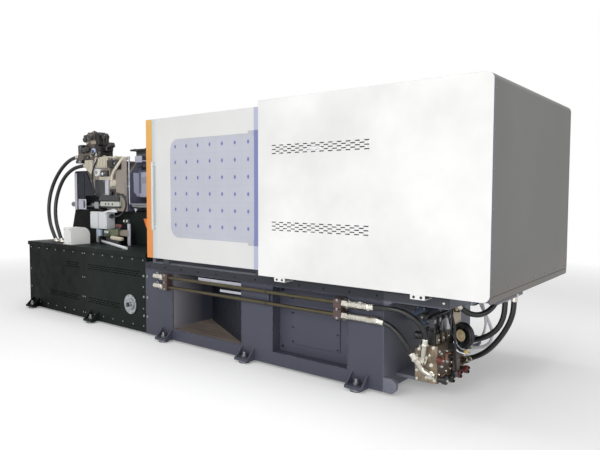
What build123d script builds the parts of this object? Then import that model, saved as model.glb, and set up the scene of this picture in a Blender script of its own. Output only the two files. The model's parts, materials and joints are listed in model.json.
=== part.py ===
import os
from math import atan2, cos, degrees, pi, radians, sin, tan

from build123d import *

# Injection moulding machine, seen from its rear side. Millimetres, +Z up, +X towards the clamp end,
# -Y the rear side, +Y the operator's side, origin on the floor under the middle of the machine.

# Overall places along the machine
left_end = -3065.0
right_end = 3065.0
bed_joint_x = -590.0
bed_right_x = 2240.0
machine_axis_z = 1505.0

# Clamp bed
bed_half_width = 831.0
bed_wall = 25.0
bed_bottom_z = 20.0
bed_top_z = 770.0
top_rail_height = 70.0
top_rail_width = 300.0
rail_end_x = 2747.0
bottom_rail_top_z = 130.0
bay_left_x = -160.0
bay_right_x = 790.0
bay_back_y = 296.0
chute_sheet = 8.0
chute_gap = 1.0
chute_flange = 50.0
recess_left_x = 1155.0
recess_right_x = 1925.0
recess_depth = 100.0
shelf_top_z = 116.0
shelf_thickness = 24.0
shelf_inset = 60.0
lug_radius = 55.0
lug_hole_radius = 22.0
lug_thickness = 30.0

# Feet of both beds
foot_width = 158.0
foot_reach = 98.0
foot_plate_thickness = 24.0
foot_plate_lip = 10.0
foot_height = 110.0
gusset_thickness = 14.0
clamp_foot_x = (-245.0, 870.0, 2037.0)
injection_foot_x = (-2907.0, -1567.0)
pad_radius = 48.0
pad_stud_radius = 15.0
pad_stud_height = 95.0
pad_nut_radius = 24.0
pad_nut_height = 20.0

# Injection bed, a closed cabinet with screwed panels on the rear side
cabinet_half_width = 820.0
cabinet_wall = 10.0
deck_top_z = 855.0
deck_lip_height = 45.0
deck_lip_overhang = 12.0
plinth_left_x = -2960.0
plinth_top_left_x = -2830.0
plinth_right_x = -600.0
plinth_half_width = 290.0
plinth_top_z = 1255.0
panel_thickness = 4.0
panel_flange = 24.0
panel_gap = 2.0
panel_bottom_z = 70.0
panel_top_z = 795.0
panel_left_x = -3020.0
panel_split_x = -1775.0
panel_right_x = -632.0
panel_slot_length = 44.0
panel_slot_height = 9.0
panel_slot_pitch_x = 62.0
panel_slot_pitch_z = 24.0
panel_slot_rows = 3
upper_vents_z = 630.0
lower_vents_z = 244.0
left_upper_vents_x = (-2180.0, -1850.0)
left_lower_vents_x = (-2560.0, -1850.0)
right_upper_vents_x = (-1690.0, -690.0)
right_lower_vents_x = (-1690.0, -1040.0)
port_x = -867.0
port_z = 292.0
port_radius = 105.0
port_depth = 22.0
port_tube_radius = 83.0
port_cap_radius = 65.0
port_knob_radius = 21.0

# Platens and tie bars
platen_half_size = 560.0
platen_corner = 70.0
tie_bar_radius = 45.0
tie_bar_offset = 355.0
fit_clearance = 0.08
sliding_gap = 0.4
fixed_platen_left_x = -450.0
fixed_platen_right_x = -160.0
locating_bore_radius = 80.0
locating_bore_length = 70.0
nozzle_well_radius = 140.0
mould_hole_radius = 8.75
mould_hole_depth = 45.0
mould_hole_wide = 420.0
mould_hole_near = 280.0
mould_height = 400.0
moving_platen_thickness = 260.0
platen_foot_inner_y = 330.0
platen_foot_outer_y = 530.0
tail_platen_thickness = 280.0
nut_radius = 78.0
nut_thickness = 85.0
tail_travel = 300.0
tie_bar_spare = 30.0

# Toggle: equal links on both sides of every knee, folded inwards when the clamp is open
link_length = 360.0
fold_angle = 75.0
pin_height = 445.0
link_half_width = 55.0
link_pin_radius = 40.0
ear_radius = 200.0
ear_angle = 15.0
ear_half_width = 42.0
small_pin_radius = 24.0
lug_back = 110.0
tail_lug_reach = 130.0
lane_gap = 2.0
crosshead_half = 50.0
small_link_width = 46.0
front_link_width = 50.0
rear_link_width = 70.0
crosshead_half_thickness = 50.0
crosshead_waist = 75.0
crosshead_web = 16.0
piston_rod_radius = 38.0
clamp_cylinder_radius = 105.0
clamp_cylinder_length = 700.0
clamp_flange_radius = 150.0
clamp_flange_thickness = 40.0

# Ejector
ejector_rod_radius = 20.0
ejector_plate_thickness = 28.0
ejector_plate_back = 165.0
ejector_travel = 120.0
ejector_half_width = 70.0
ejector_half_height = 190.0
ejector_cylinder_radius = 38.0
ejector_cylinder_length = 40.0
ejector_cylinder_offset = 140.0
ejector_side_rod_radius = 16.0
ejector_corner = 23.0

# Fixed cover over the clamp
cover_half_width = 950.0
cover_left_x = 1100.0
cover_bottom_z = 800.0
cover_headroom = 188.0
cover_top_z = machine_axis_z + platen_half_size + cover_headroom
cover_sheet = 3.0
cover_corner_radius = 50.0
cover_return = 40.0
cover_top_fold = 30.0
vent_left_x = 1251.0
vent_upper_z = 1844.0
vent_lower_z = 1221.0
vent_columns = 12
vent_pitch_x = 80.0
vent_rows = 5
operator_vent_rows = 3
vent_pitch_z = 16.0
vent_slot_length = 42.0
vent_slot_height = 8.0
bracket_x = (1330.0, 2565.0)
bracket_width = 110.0
bracket_drop = 34.0
bracket_rise = 30.0
bracket_sheet = 6.0
bracket_hole_radius = 9.0

# Sliding gates
gate_inset = 57.0
gate_y = cover_half_width - gate_inset
gate_sheet = 3.0
gate_return = 30.0
gate_left_x = -380.0
gate_right_x = 1150.0
gate_bottom_z = 834.0
track_headroom = 115.0
upper_track_top_z = machine_axis_z + platen_half_size + track_headroom
gate_rise = 35.0
gate_top_z = upper_track_top_z + gate_rise
gate_edge_width = 95.0
window_left_x = -100.0
window_right_x = 1035.0
window_bottom_z = 1058.0
window_top_z = 2000.0
window_radius = 110.0
window_lap = 22.0
window_pane = 8.0
handle_x = -335.0
handle_bottom_z = 1128.0
handle_top_z = 1787.0
handle_radius = 11.0
handle_standoff = 36.0
handle_leg_radius = 8.8
track_inset = 67.0
track_outer_y = gate_y - track_inset
track_width = 22.0
upper_track_height = 34.0
lower_track_height = 16.0
track_right_x = 2290.0
track_post = 44.0
shoe_width = 90.0
shoe_thickness = 10.0
guide_clearance = 7.0

# Pipes along the clamp bed
pipe_radius = 16.0
pipe_y = -870.0
upper_pipe_z = 650.0
lower_pipe_z = 555.0
pipe_left_x = -240.0
pipe_right_x = 1905.0
clamp_left_x = -205.0
clamp_right_x = 1865.0
clamp_block_length = 70.0
clamp_block_half_height = 80.0
clamp_block_wall = 9.0
clamp_block_chamfer = 6.0
fitting_radius = 25.0
fitting_hex_radius = 31.0
upper_fitting_end_x = 2136.0
lower_fitting_end_x = 2221.0
left_fitting_length = 150.0
fitting_nut_length = 60.0
fitting_collar_length = 40.0
fitting_collar_gap = 50.0

# Hoses
hose_radius = 20.0
grey_hose_radius = 9.5
hose_gap = 0.4

# Bulkhead under the cover, where the hoses from the clamp end arrive
beam_left_x = 2697.0
bulkhead_end_x = 3035.0
bulkhead_near_y = -700.0
bulkhead_far_y = -180.0
bulkhead_bottom_z = 752.0

# Manifold at the clamp end
manifold_left_x = 2419.0
manifold_right_x = 2600.0
manifold_near_y = -688.0
manifold_far_y = -190.0
manifold_top_z = 392.0
manifold_step = 40.0
valve_x = 2545.0
valve_size = 62.0
valve_pitch = 90.0
valve_height = 100.0
valve_top_height = 200.0
valve_top_radius = 22.0
coil_radius = 27.0
coil_length = 80.0
coil_rise = 49.0
screw_y = (-566.0, -430.0, -290.0)
screw_radius = 18.0
screw_length = 40.0
screw_cap_radius = 26.0
filter_x = 2706.0
filter_y = -470.0
filter_z = 452.0
filter_turn = -22.0
filter_radius = 86.0
filter_depth = 44.0
filter_rim = 22.0
filter_cap_radius = 44.0
filter_cap_rise = 6.0
filter_neck_width = 60.0
filter_neck_height = 50.0
post_left_x = 2600.0
post_right_x = 2668.0
post_top_z = 742.0
post_thickness = 6.0
cooler_radius = 62.0
cooler_flange = 12.0
cooler_z = 575.0
cooler_x = 2430.0
cooler_near_y = -600.0
cooler_far_y = 420.0

# Rigid bends between the pipe hoses and the manifold, and the ports for the hoses from the bulkhead
upper_elbow_start = (2526.0, -745.0, 412.0)
upper_elbow_end = (2502.0, -723.0, 291.0)
upper_elbow_radius = 22.0
lower_elbow_start = (2460.0, -775.0, 306.0)
lower_elbow_middle = (2499.0, -738.0, 222.0)
lower_elbow_end = (2562.0, -715.0, 182.0)
lower_elbow_radius = 20.0
lower_elbow_bend = 60.0
inlet_boss = 8.0
port_shell = 8.0

# Injection unit
unit_rod_radius = 35.0
unit_rod_y = 330.0
unit_rod_z = 1330.0
unit_rod_left_x = -2800.0
support_gap = 22.0
support_width = 90.0
support_wall = 45.0
support_top_z = 1395.0
support_shoulder = 30.0
ram_travel = 160.0
carriage_travel = 250.0
housing_left_x = -1850.0
housing_length = 350.0
housing_right_x = housing_left_x + housing_length
housing_half_width = 400.0
housing_top_half_width = 260.0
housing_bottom_z = 1262.0
housing_top_z = 1850.0
guide_bush_length = 120.0
guide_bush_radius = 59.5
cylinder_reach = 533.0
cylinder_step_back = 360.0
cylinder_left_x = housing_left_x - cylinder_reach
cylinder_step_x = housing_left_x - cylinder_step_back
cylinder_step_z = 1660.0
cylinder_bottom_z = 1455.0
cylinder_top_z = 1895.0
cylinder_inner_y = 200.0
cylinder_chamfer = 16.0
cylinder_spare = 40.0
ram_rod_radius = 32.0
ram_rod_y = 300.0
ram_rod_z = 1560.0
ram_gap = 129.0
ram_thickness = 120.0
ram_right_x = cylinder_left_x - ram_gap
ram_left_x = ram_right_x - ram_thickness
ram_half_width = 400.0
ram_top_half_width = 300.0
ram_half_height = 190.0
ram_foot_drop = 55.0
motor_radius = 170.0
motor_length = 150.0
motor_cap_radius = 119.0
motor_cap_length = 25.0
support_left_x = ram_right_x + carriage_travel + support_gap
support_right_x = support_left_x + support_width
barrel_radius = 62.0
barrel_bore_radius = 30.0
barrel_right_x = -560.0
barrel_cap_radius = 45.6
barrel_cap_length = 40.0
nozzle_tip_x = -440.0
nozzle_radius = 24.0
nozzle_tip_radius = 12.0
nozzle_tip_length = 12.0
nozzle_hole_radius = 4.0
band_gap = 20.0
screw_seat = 20.0
screw_shank = 60.0
screw_neck_radius = 23.9
screw_tip_radius = 3.0
screw_tip_length = 26.0
screw_tip_gap = 44.0
band_radius = 84.0
band_length = 118.0
band_pitch = 140.0
band_count = 6
guard_right_x = -760.0
guard_half_width = 230.0
guard_bottom_z = 1433.0
guard_top_z = 1735.0
guard_sheet = 4.0
guard_bend = 24.0
guard_hole_rows = 4
guard_hole_columns = 6
guard_hole_pitch = 34.0
guard_hole_length = 18.0
guard_hole_height = 10.0
guard_hole_start_x = -1440.0
guard_hole_top_z = 1665.0
throat_setback = 125.0
throat_x = housing_right_x - throat_setback
throat_chamfer = 20.0
throat_half_length = 100.0
throat_half_width = 120.0
throat_top_z = 2000.0
throat_plate_half_length = 150.0
throat_plate_half_width = 160.0
throat_plate_thickness = 22.0
feed_bore_radius = 32.0
feed_drop_radius = 27.0
hopper_hole_pitch = 200.0
hopper_hole_radius = 6.0
cover_box_lap = 8.0
cover_box_gap = 12.0
cover_box_left_x = ram_left_x - cover_box_lap
cover_box_right_x = cylinder_left_x - cover_box_gap
cover_box_bottom_z = 1262.0
cover_box_top_z = 1765.0
cover_box_bend = 30.0
stack_left_reach = 217.0
stack_right_reach = 323.0
stack_left_x = cylinder_left_x - stack_left_reach
stack_right_x = cylinder_left_x + stack_right_reach
stack_near_y = -395.0
stack_far_y = -215.0
stack_top_z = 2236.0
stack_waist_z = 2060.0
stack_foot_z = 1900.0
stack_step = 40.0
stack_foot_step = 10.0
stack_upper_left = 200.0
stack_upper_right = 50.0
stack_upper_inset = 20.0
stack_middle_chamfer = 14.0
stack_upper_chamfer = 26.0
solenoid_radius = 31.0
solenoid_length = 85.0
small_solenoid_length = 35.0
small_solenoid_rise = 42.0
far_solenoid_radius = 27.9
far_solenoid_length = 25.0
far_solenoid_rise = 30.0
gauge_radius = 42.0
gauge_length = 28.0
gauge_setback = 130.0
port_y = -374.0
outer_port_step = 18.0
outer_port_x = stack_left_x + outer_port_step
outer_port_z = 1945.0
inner_port_x = cylinder_left_x - cover_box_gap
inner_port_z = 1832.0
hood_left_x = -2240.0
hood_right_x = -2078.0
hood_near_y = -800.0
hood_far_y = -545.0
hood_top_z = 1062.0
hood_shoulder = 95.0
hood_sheet = 4.0
terminal_left_x = -2260.0
terminal_right_x = -1905.0
terminal_near_y = -420.0
terminal_far_y = -300.0
terminal_bottom_z = 1035.0
terminal_top_z = 1246.0
terminal_leg = 30.0
terminal_edge = 6.0

# Control panel on the operator's side
panel_post_left_x = -1080.0
panel_post_right_x = -660.0
panel_post_back_y = 610.0
panel_post_front_y = 800.0
panel_head_bottom_z = 1290.0
panel_head_top_z = 1900.0
panel_head_front_y = 900.0
panel_head_lean = 70.0
panel_head_step = 60.0
screen_size = (300.0, 230.0)
screen_up = 430.0
screen_recess = 6.0
keys_size = (230.0, 190.0)
keys_shift = -50.0
keys_up = 170.0
button_up = 90.0
button_shift = 140.0
button_gap = 8.0
button_stroke = 6.0
button_radius = 20.0
button_height = 26.0
button_stem_radius = 11.0
button_stem_depth = 22.0


# Routes of the hoses, each from its first fitting to its last
upper_hose_points = [
    (upper_fitting_end_x, pipe_y, upper_pipe_z),
    (2228.0, pipe_y, 655.0),
    (2320.0, -868.0, 659.0),
    (2408.0, -852.0, 648.0),
    (2480.0, -824.0, 607.0),
    (2525.0, -788.0, 546.0),
    (2539.0, -757.0, 478.0),
    upper_elbow_start,
]
lower_hose_points = [
    (lower_fitting_end_x, pipe_y, lower_pipe_z),
    (2282.0, -869.0, 546.0),
    (2335.0, -860.0, 517.0),
    (2377.0, -843.0, 468.0),
    (2408.0, -822.0, 412.0),
    (2436.0, -798.0, 358.0),
    lower_elbow_start,
]
loop_hose_points = [
    (2714.0, -622.0, 702.0),
    (2748.0, -576.0, 654.0),
    (2787.0, -520.0, 622.0),
    (2829.0, -460.0, 616.0),
    (2868.0, -405.0, 642.0),
    (2898.0, -357.0, 692.0),
    (2911.0, -332.0, bulkhead_bottom_z + 5),
]
outer_hose_points = [
    (3011.0, -300.0, bulkhead_bottom_z),
    (3011.0, -300.0, 660.0),
    (2990.0, -298.0, 572.0),
    (2949.0, -292.0, 486.0),
    (2892.0, -280.0, 400.0),
    (2822.0, -262.0, 318.0),
    (2740.0, -242.0, 252.0),
    (2648.0, -226.0, 206.0),
]
inner_hose_points = [
    (2957.0, -330.0, bulkhead_bottom_z),
    (2957.0, -330.0, 665.0),
    (2945.0, -330.0, 580.0),
    (2908.0, -330.0, 502.0),
    (2846.0, -330.0, 443.0),
    (2768.0, -330.0, 402.0),
    (2684.0, -330.0, 376.0),
]
grey_tube_points = [
    (2712.0, -215.0, bulkhead_bottom_z),
    (2718.0, -215.0, 690.0),
    (2742.0, -215.0, 626.0),
    (2778.0, -215.0, 560.0),
    (2811.0, -215.0, 494.0),
    (2830.0, -215.0, 430.0),
    (2818.0, -215.0, 366.0),
    (2773.0, -215.0, 323.0),
    (2710.0, -215.0, 303.0),
    (2646.0, -215.0, 298.0),
]
injection_outer_points = [
    (outer_port_x - hose_gap, port_y, outer_port_z),
    (-2710.0, port_y, outer_port_z),
    (-2870.0, -420.0, 1848.0),
    (-2994.0, -470.0, 1680.0),
    (-3070.0, -506.0, 1490.0),
    (-3078.0, -534.0, 1296.0),
    (-3012.0, -562.0, 1120.0),
    (-2890.0, -590.0, 978.0),
    (-2740.0, -612.0, deck_top_z - 8),
]
injection_inner_points = [
    (inner_port_x - hose_gap, port_y, inner_port_z),
    (-2490.0, port_y, inner_port_z),
    (-2620.0, -440.0, 1796.0),
    (-2784.0, -474.0, 1680.0),
    (-2890.0, -498.0, 1504.0),
    (-2916.0, -528.0, 1316.0),
    (-2868.0, -554.0, 1140.0),
    (-2760.0, -584.0, 1000.0),
    (-2620.0, -608.0, deck_top_z - 8),
]


# Plain shapes between named places
def block(x, y, z):
    low = [min(pair) for pair in (x, y, z)]
    high = [max(pair) for pair in (x, y, z)]
    size = [b - a for a, b in zip(low, high)]
    middle = [(a + b) / 2 for a, b in zip(low, high)]
    return Pos(*middle) * Box(*size)


def rod_x(x0, x1, y, z, radius):
    return Pos((x0 + x1) / 2, y, z) * Rot(0, 90, 0) * Cylinder(radius, abs(x1 - x0))


def rod_y(y0, y1, x, z, radius):
    return Pos(x, (y0 + y1) / 2, z) * Rot(90, 0, 0) * Cylinder(radius, abs(y1 - y0))


def rod_z(z0, z1, x, y, radius):
    return Pos(x, y, (z0 + z1) / 2) * Cylinder(radius, abs(z1 - z0))


def rod_between(first, second, radius):
    run = Vector(*second) - Vector(*first)
    middle = (Vector(*first) + Vector(*second)) / 2
    return Plane(origin=middle, z_dir=run) * Cylinder(radius, run.length)


def slab_y(points, y0, y1):
    outline = Face(Wire.make_polygon([(x, min(y0, y1), z) for x, z in points]))
    return Part() + Solid.extrude(outline, Vector(0, abs(y1 - y0), 0))


def slab_x(points, x0, x1):
    outline = Face(Wire.make_polygon([(min(x0, x1), y, z) for y, z in points]))
    return Part() + Solid.extrude(outline, Vector(abs(x1 - x0), 0, 0))


def slab_z(points, z0, z1):
    outline = Face(Wire.make_polygon([(x, y, min(z0, z1)) for x, y in points]))
    return Part() + Solid.extrude(outline, Vector(0, 0, abs(z1 - z0)))


def rounded_y(x, z, y0, y1, radius):
    flat = Pos((x[0] + x[1]) / 2, 0, (z[0] + z[1]) / 2) * Rot(90, 0, 0)
    return Pos(0, (y0 + y1) / 2, 0) * (flat * extrude(
        RectangleRounded(x[1] - x[0], z[1] - z[0], radius), abs(y1 - y0) / 2, both=True
    ))


def slot_y(x, z, length, height, y0, y1):
    return block((x - length / 2, x + length / 2), (y0, y1), (z - height / 2, z + height / 2))


def bar_link(first, second, radius, y0, y1):
    """A flat link in the XZ plane with round ends about two pins."""
    run = Vector(second[0] - first[0], 0, second[1] - first[1]).normalized()
    side = Vector(-run.Z, 0, run.X) * radius
    corners = [
        (first[0] + side.X, first[1] + side.Z),
        (second[0] + side.X, second[1] + side.Z),
        (second[0] - side.X, second[1] - side.Z),
        (first[0] - side.X, first[1] - side.Z),
    ]
    ends = [rod_y(y0, y1, pin[0], pin[1], radius) for pin in (first, second)]
    return slab_y(corners, y0, y1) + ends


def other_side(shape):
    return mirror(shape, about=Plane.XZ)


def both_sides(shape):
    return shape + other_side(shape)


def above_and_below(shape):
    return mirror(shape, about=Plane.XY.offset(machine_axis_z))


def save(shape, name):
    shape.label = name
    export_step(shape, "parts/" + name + ".step")


def foot(x, half_width):
    """A welded foot on the rear side: a floor plate with two gussets."""
    left = x - foot_width / 2
    right = x + foot_width / 2
    plate_top = bed_bottom_z + foot_plate_thickness
    plate = block((left, right), (-half_width - foot_reach, -half_width), (bed_bottom_z, plate_top))
    profile = [
        (-half_width, plate_top),
        (-half_width - foot_reach + foot_plate_lip, plate_top),
        (-half_width, bed_bottom_z + foot_height),
    ]
    gussets = [slab_x(profile, left, left + gusset_thickness)]
    gussets.append(slab_x(profile, right - gusset_thickness, right))
    bolt = rod_z(bed_bottom_z, plate_top, x, -half_width - foot_reach / 2, pad_stud_radius + fit_clearance)
    return plate + gussets - bolt


def levelling_pad(x, y):
    """A floor pad with its stud and the nut that locks it above the foot plate."""
    plate_top = bed_bottom_z + foot_plate_thickness
    pad = rod_z(0, bed_bottom_z, x, y, pad_radius)
    stud = rod_z(bed_bottom_z, pad_stud_height, x, y, pad_stud_radius)
    hexagon = extrude(RegularPolygon(pad_nut_radius, 6), pad_nut_height)
    return pad + stud + Pos(x, y, plate_top) * hexagon


# Clamp bed: welded box with a drop bay on the rear side and recessed walls beside it
def make_clamp_bed():
    wall_y = bed_half_width - bed_wall
    under_rail_z = bed_top_z - top_rail_height
    floor_z = bed_bottom_z + bed_wall
    recess_y = bed_half_width - recess_depth
    bed = block((bed_joint_x, bed_right_x), (-bed_half_width, bed_half_width), (bed_bottom_z, bed_top_z))
    hollow_left = block(
        (bed_joint_x + bed_wall, bay_left_x - bed_wall), (-wall_y, wall_y), (floor_z, under_rail_z)
    )
    hollow_right = block(
        (bay_right_x + bed_wall, bed_right_x - bed_wall), (-wall_y, wall_y), (floor_z, under_rail_z)
    )
    recess_back = block(
        (recess_left_x - bed_wall, recess_right_x + bed_wall),
        (-wall_y, -recess_y + bed_wall),
        (floor_z, under_rail_z),
    )
    hollow_right = hollow_right - recess_back - other_side(recess_back)
    bay = block(
        (bay_left_x, bay_right_x), (-bed_half_width, bay_back_y), (bottom_rail_top_z, under_rail_z)
    )
    behind_bay = block(
        (bay_left_x, bay_right_x), (bay_back_y + bed_wall, wall_y), (floor_z, under_rail_z)
    )
    recess = block(
        (recess_left_x, recess_right_x), (-bed_half_width, -recess_y), (bottom_rail_top_z, under_rail_z)
    )
    inner_y = bed_half_width - top_rail_width
    drop_hole = block((bay_left_x, bay_right_x), (-bay_back_y, bay_back_y), (under_rail_z, bed_top_z))
    service_hole = block(
        (bay_right_x + bed_wall, bed_right_x - bed_wall), (-inner_y, inner_y), (under_rail_z, bed_top_z)
    )
    bed = bed - [hollow_left, hollow_right, bay, behind_bay, recess, other_side(recess)]
    bed = bed - [drop_hole, service_hole]
    rail = slab_y(
        [
            (bed_right_x, under_rail_z - top_rail_height),
            (bed_right_x, bed_top_z),
            (rail_end_x, bed_top_z),
            (rail_end_x, under_rail_z),
            (bed_right_x + top_rail_height, under_rail_z),
        ],
        -bed_half_width,
        -bed_half_width + bed_wall * 2,
    )
    shelf = block(
        (bed_right_x, manifold_right_x - shelf_inset),
        (manifold_near_y + shelf_inset, manifold_far_y - shelf_inset),
        (shelf_top_z - shelf_thickness, shelf_top_z),
    )
    lug = rod_y(
        -bed_half_width, -bed_half_width + lug_thickness, bed_right_x + lug_radius,
        bed_bottom_z + lug_radius, lug_radius,
    )
    lug_root = block(
        (bed_right_x, bed_right_x + lug_radius),
        (-bed_half_width, -bed_half_width + lug_thickness),
        (bed_bottom_z, bed_bottom_z + 2 * lug_radius),
    )
    lug_hole = rod_y(
        -bed_half_width, -bed_half_width + lug_thickness, bed_right_x + lug_radius,
        bed_bottom_z + lug_radius, lug_hole_radius,
    )
    lug = lug + lug_root - lug_hole
    feet = [foot(x, bed_half_width) for x in clamp_foot_x]
    for piece in [rail, lug] + feet:
        bed = bed + piece + other_side(piece)
    beam = block(
        (beam_left_x, rail_end_x),
        (-bed_half_width + bed_wall, bed_half_width - bed_wall),
        (under_rail_z, bed_top_z),
    )
    bulkhead = block(
        (beam_left_x, bulkhead_end_x), (bulkhead_near_y, bulkhead_far_y), (bulkhead_bottom_z, bed_top_z)
    )
    return Compound(welded_parts(bed + shelf + beam + bulkhead))


def welded_parts(bed):
    """A box at each end of the bed, and between them the floor, the walls and the rails of the bay."""
    reach = bed_half_width + foot_reach
    under_rail_z = bed_top_z - top_rail_height
    bay_x = (bay_left_x, bay_right_x)
    bounds = (
        ((bed_joint_x, bay_left_x), (bed_bottom_z, bed_top_z)),
        (bay_x, (bed_bottom_z, bottom_rail_top_z)),
        (bay_x, (bottom_rail_top_z, under_rail_z)),
        (bay_x, (under_rail_z, bed_top_z)),
        ((bay_right_x, bulkhead_end_x), (bed_bottom_z, bed_top_z)),
    )
    parts = []
    for x, z in bounds:
        parts.extend((bed & block(x, (-reach, reach), z)).solids())
    return parts


# Slanted sheet in the drop bay, from its near right corner to its far left corner
def make_drop_chute():
    low = bottom_rail_top_z
    high = bed_top_z - top_rail_height - chute_gap
    near = (bay_right_x - chute_gap, -bed_half_width + bed_wall)
    far = (bay_left_x + chute_gap, -bay_back_y)
    wall = slab_z([near, far, (far[0], far[1] + chute_sheet), (near[0], near[1] + chute_sheet)], low, high)
    foot_flange = slab_z(
        [near, far, (far[0], far[1] + chute_flange), (near[0], near[1] + chute_flange)], low, low + chute_sheet
    )
    return wall + foot_flange


# Injection bed: sheet cabinet under an overhanging deck
def make_injection_bed():
    outer_left = left_end + deck_lip_overhang
    deck_bottom = deck_top_z - deck_lip_height
    box = block(
        (outer_left, bed_joint_x), (-cabinet_half_width, cabinet_half_width), (bed_bottom_z, deck_bottom)
    )
    deck = block(
        (left_end, bed_joint_x),
        (-cabinet_half_width - deck_lip_overhang, cabinet_half_width + deck_lip_overhang),
        (deck_bottom, deck_top_z),
    )
    inside = block(
        (outer_left + cabinet_wall, bed_joint_x - cabinet_wall),
        (-cabinet_half_width + cabinet_wall, cabinet_half_width - cabinet_wall),
        (bed_bottom_z + cabinet_wall, deck_top_z - cabinet_wall),
    )
    plinth = slab_y(
        [
            (plinth_left_x, deck_top_z),
            (plinth_top_left_x, plinth_top_z),
            (plinth_right_x, plinth_top_z),
            (plinth_right_x, deck_top_z),
        ],
        -plinth_half_width,
        plinth_half_width,
    )
    plinth_inside = block(
        (plinth_top_left_x + cabinet_wall, plinth_right_x - cabinet_wall),
        (-plinth_half_width + cabinet_wall, plinth_half_width - cabinet_wall),
        (deck_top_z - cabinet_wall, plinth_top_z - cabinet_wall),
    )
    bed = box + deck + plinth - inside - plinth_inside
    for x0, x1 in panel_spans():
        rebate = block(
            (x0 - panel_gap, x1 + panel_gap),
            (-cabinet_half_width, -cabinet_half_width + panel_thickness),
            (panel_bottom_z - panel_gap, panel_top_z + panel_gap),
        )
        window = block(
            (x0 + panel_flange, x1 - panel_flange),
            (-cabinet_half_width, -cabinet_half_width + cabinet_wall),
            (panel_bottom_z + panel_flange, panel_top_z - panel_flange),
        )
        bed = bed - rebate - window - other_side(rebate)
    for x in injection_foot_x:
        piece = foot(x, cabinet_half_width)
        bed = bed + piece + other_side(piece)
    return bed


def panel_spans():
    half_gap = panel_gap + panel_thickness
    return (
        (panel_left_x, panel_split_x - half_gap),
        (panel_split_x + half_gap, panel_right_x),
    )


def vent_band(span, z_middle):
    """Staggered rows of slots through the rear panels."""
    cuts = []
    x0, x1 = span
    for row in range(panel_slot_rows):
        shift = panel_slot_pitch_x / 2 if row % 2 else 0.0
        count = int((x1 - x0 - shift) // panel_slot_pitch_x)
        z = z_middle + (row - (panel_slot_rows - 1) / 2) * panel_slot_pitch_z
        for column in range(count):
            x = x0 + shift + panel_slot_pitch_x * (column + 0.5)
            cuts.append(slot_y(
                x, z, panel_slot_length, panel_slot_height,
                -cabinet_half_width, -cabinet_half_width + panel_thickness,
            ))
    return cuts


def make_rear_panels():
    left, right = [
        block(span, (-cabinet_half_width, -cabinet_half_width + panel_thickness), (panel_bottom_z, panel_top_z))
        for span in panel_spans()
    ]
    left = left - vent_band(left_lower_vents_x, lower_vents_z)
    left = left - vent_band(left_upper_vents_x, upper_vents_z)
    port = rod_y(
        -cabinet_half_width, -cabinet_half_width + panel_thickness,
        port_x, port_z, port_tube_radius + sliding_gap,
    )
    right = right - vent_band(right_upper_vents_x, upper_vents_z)
    right = right - vent_band(right_lower_vents_x, lower_vents_z)
    return left, right - port


# Filler port of the oil tank: a flanged ring with a cap and its knob
def make_tank_port():
    face = -cabinet_half_width
    step = port_depth / 2
    tube = rod_y(face, face + 2 * port_depth, port_x, port_z, port_tube_radius)
    flange = rod_y(face - step, face, port_x, port_z, port_radius)
    cap = rod_y(face - 2 * step, face - step, port_x, port_z, port_cap_radius)
    knob = rod_y(face - 3 * step, face - 2 * step, port_x, port_z, port_knob_radius)
    return tube + flange + cap + knob


# Platens
def platen_outline(x0, x1):
    body = block(
        (x0, x1),
        (-platen_half_size, platen_half_size),
        (machine_axis_z - platen_half_size, machine_axis_z + platen_half_size),
    )
    return chamfer(body.edges().filter_by(Axis.X), platen_corner)


def tie_bar_places():
    return [
        (side * tie_bar_offset, machine_axis_z + level * tie_bar_offset)
        for side in (-1, 1)
        for level in (-1, 1)
    ]


def tie_bar_bores(x0, x1, clearance):
    return [rod_x(x0, x1, y, z, tie_bar_radius + clearance) for y, z in tie_bar_places()]


def platen_feet(x0, x1, bottom_z):
    top = machine_axis_z - platen_half_size + platen_corner
    profile = [
        (-platen_foot_outer_y, bottom_z),
        (-platen_foot_inner_y, bottom_z),
        (-platen_foot_inner_y, top),
        (-platen_foot_outer_y + platen_corner, top),
        (-platen_foot_outer_y, top - platen_corner),
    ]
    return both_sides(slab_x(profile, x0, x1))


def mould_holes(face_x, into):
    holes = []
    for wide, high in ((mould_hole_wide, mould_hole_near), (mould_hole_near, mould_hole_wide)):
        for side in (-0.5, 0.5):
            for level in (-0.5, 0.5):
                holes.append(rod_x(
                    face_x, face_x + into * mould_hole_depth,
                    side * wide, machine_axis_z + level * high, mould_hole_radius,
                ))
    return holes


def make_stationary_platen():
    body = platen_outline(fixed_platen_left_x, fixed_platen_right_x)
    body = body + platen_feet(fixed_platen_left_x, fixed_platen_right_x, bed_top_z)
    bore_start = fixed_platen_right_x - locating_bore_length
    well = rod_x(fixed_platen_left_x, bore_start, 0, machine_axis_z, nozzle_well_radius)
    bore = rod_x(bore_start, fixed_platen_right_x, 0, machine_axis_z, locating_bore_radius)
    body = body - tie_bar_bores(fixed_platen_left_x, fixed_platen_right_x, fit_clearance)
    return body - [well, bore] - mould_holes(fixed_platen_right_x, -1)


def make_tie_bars(end_x):
    bars = []
    for y, z in tie_bar_places():
        start = fixed_platen_left_x - nut_thickness
        bar = rod_x(start - tie_bar_radius / 2, end_x, y, z, tie_bar_radius)
        bars.append(bar + rod_x(start, fixed_platen_left_x, y, z, nut_radius))
    return Compound(bars)


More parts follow.
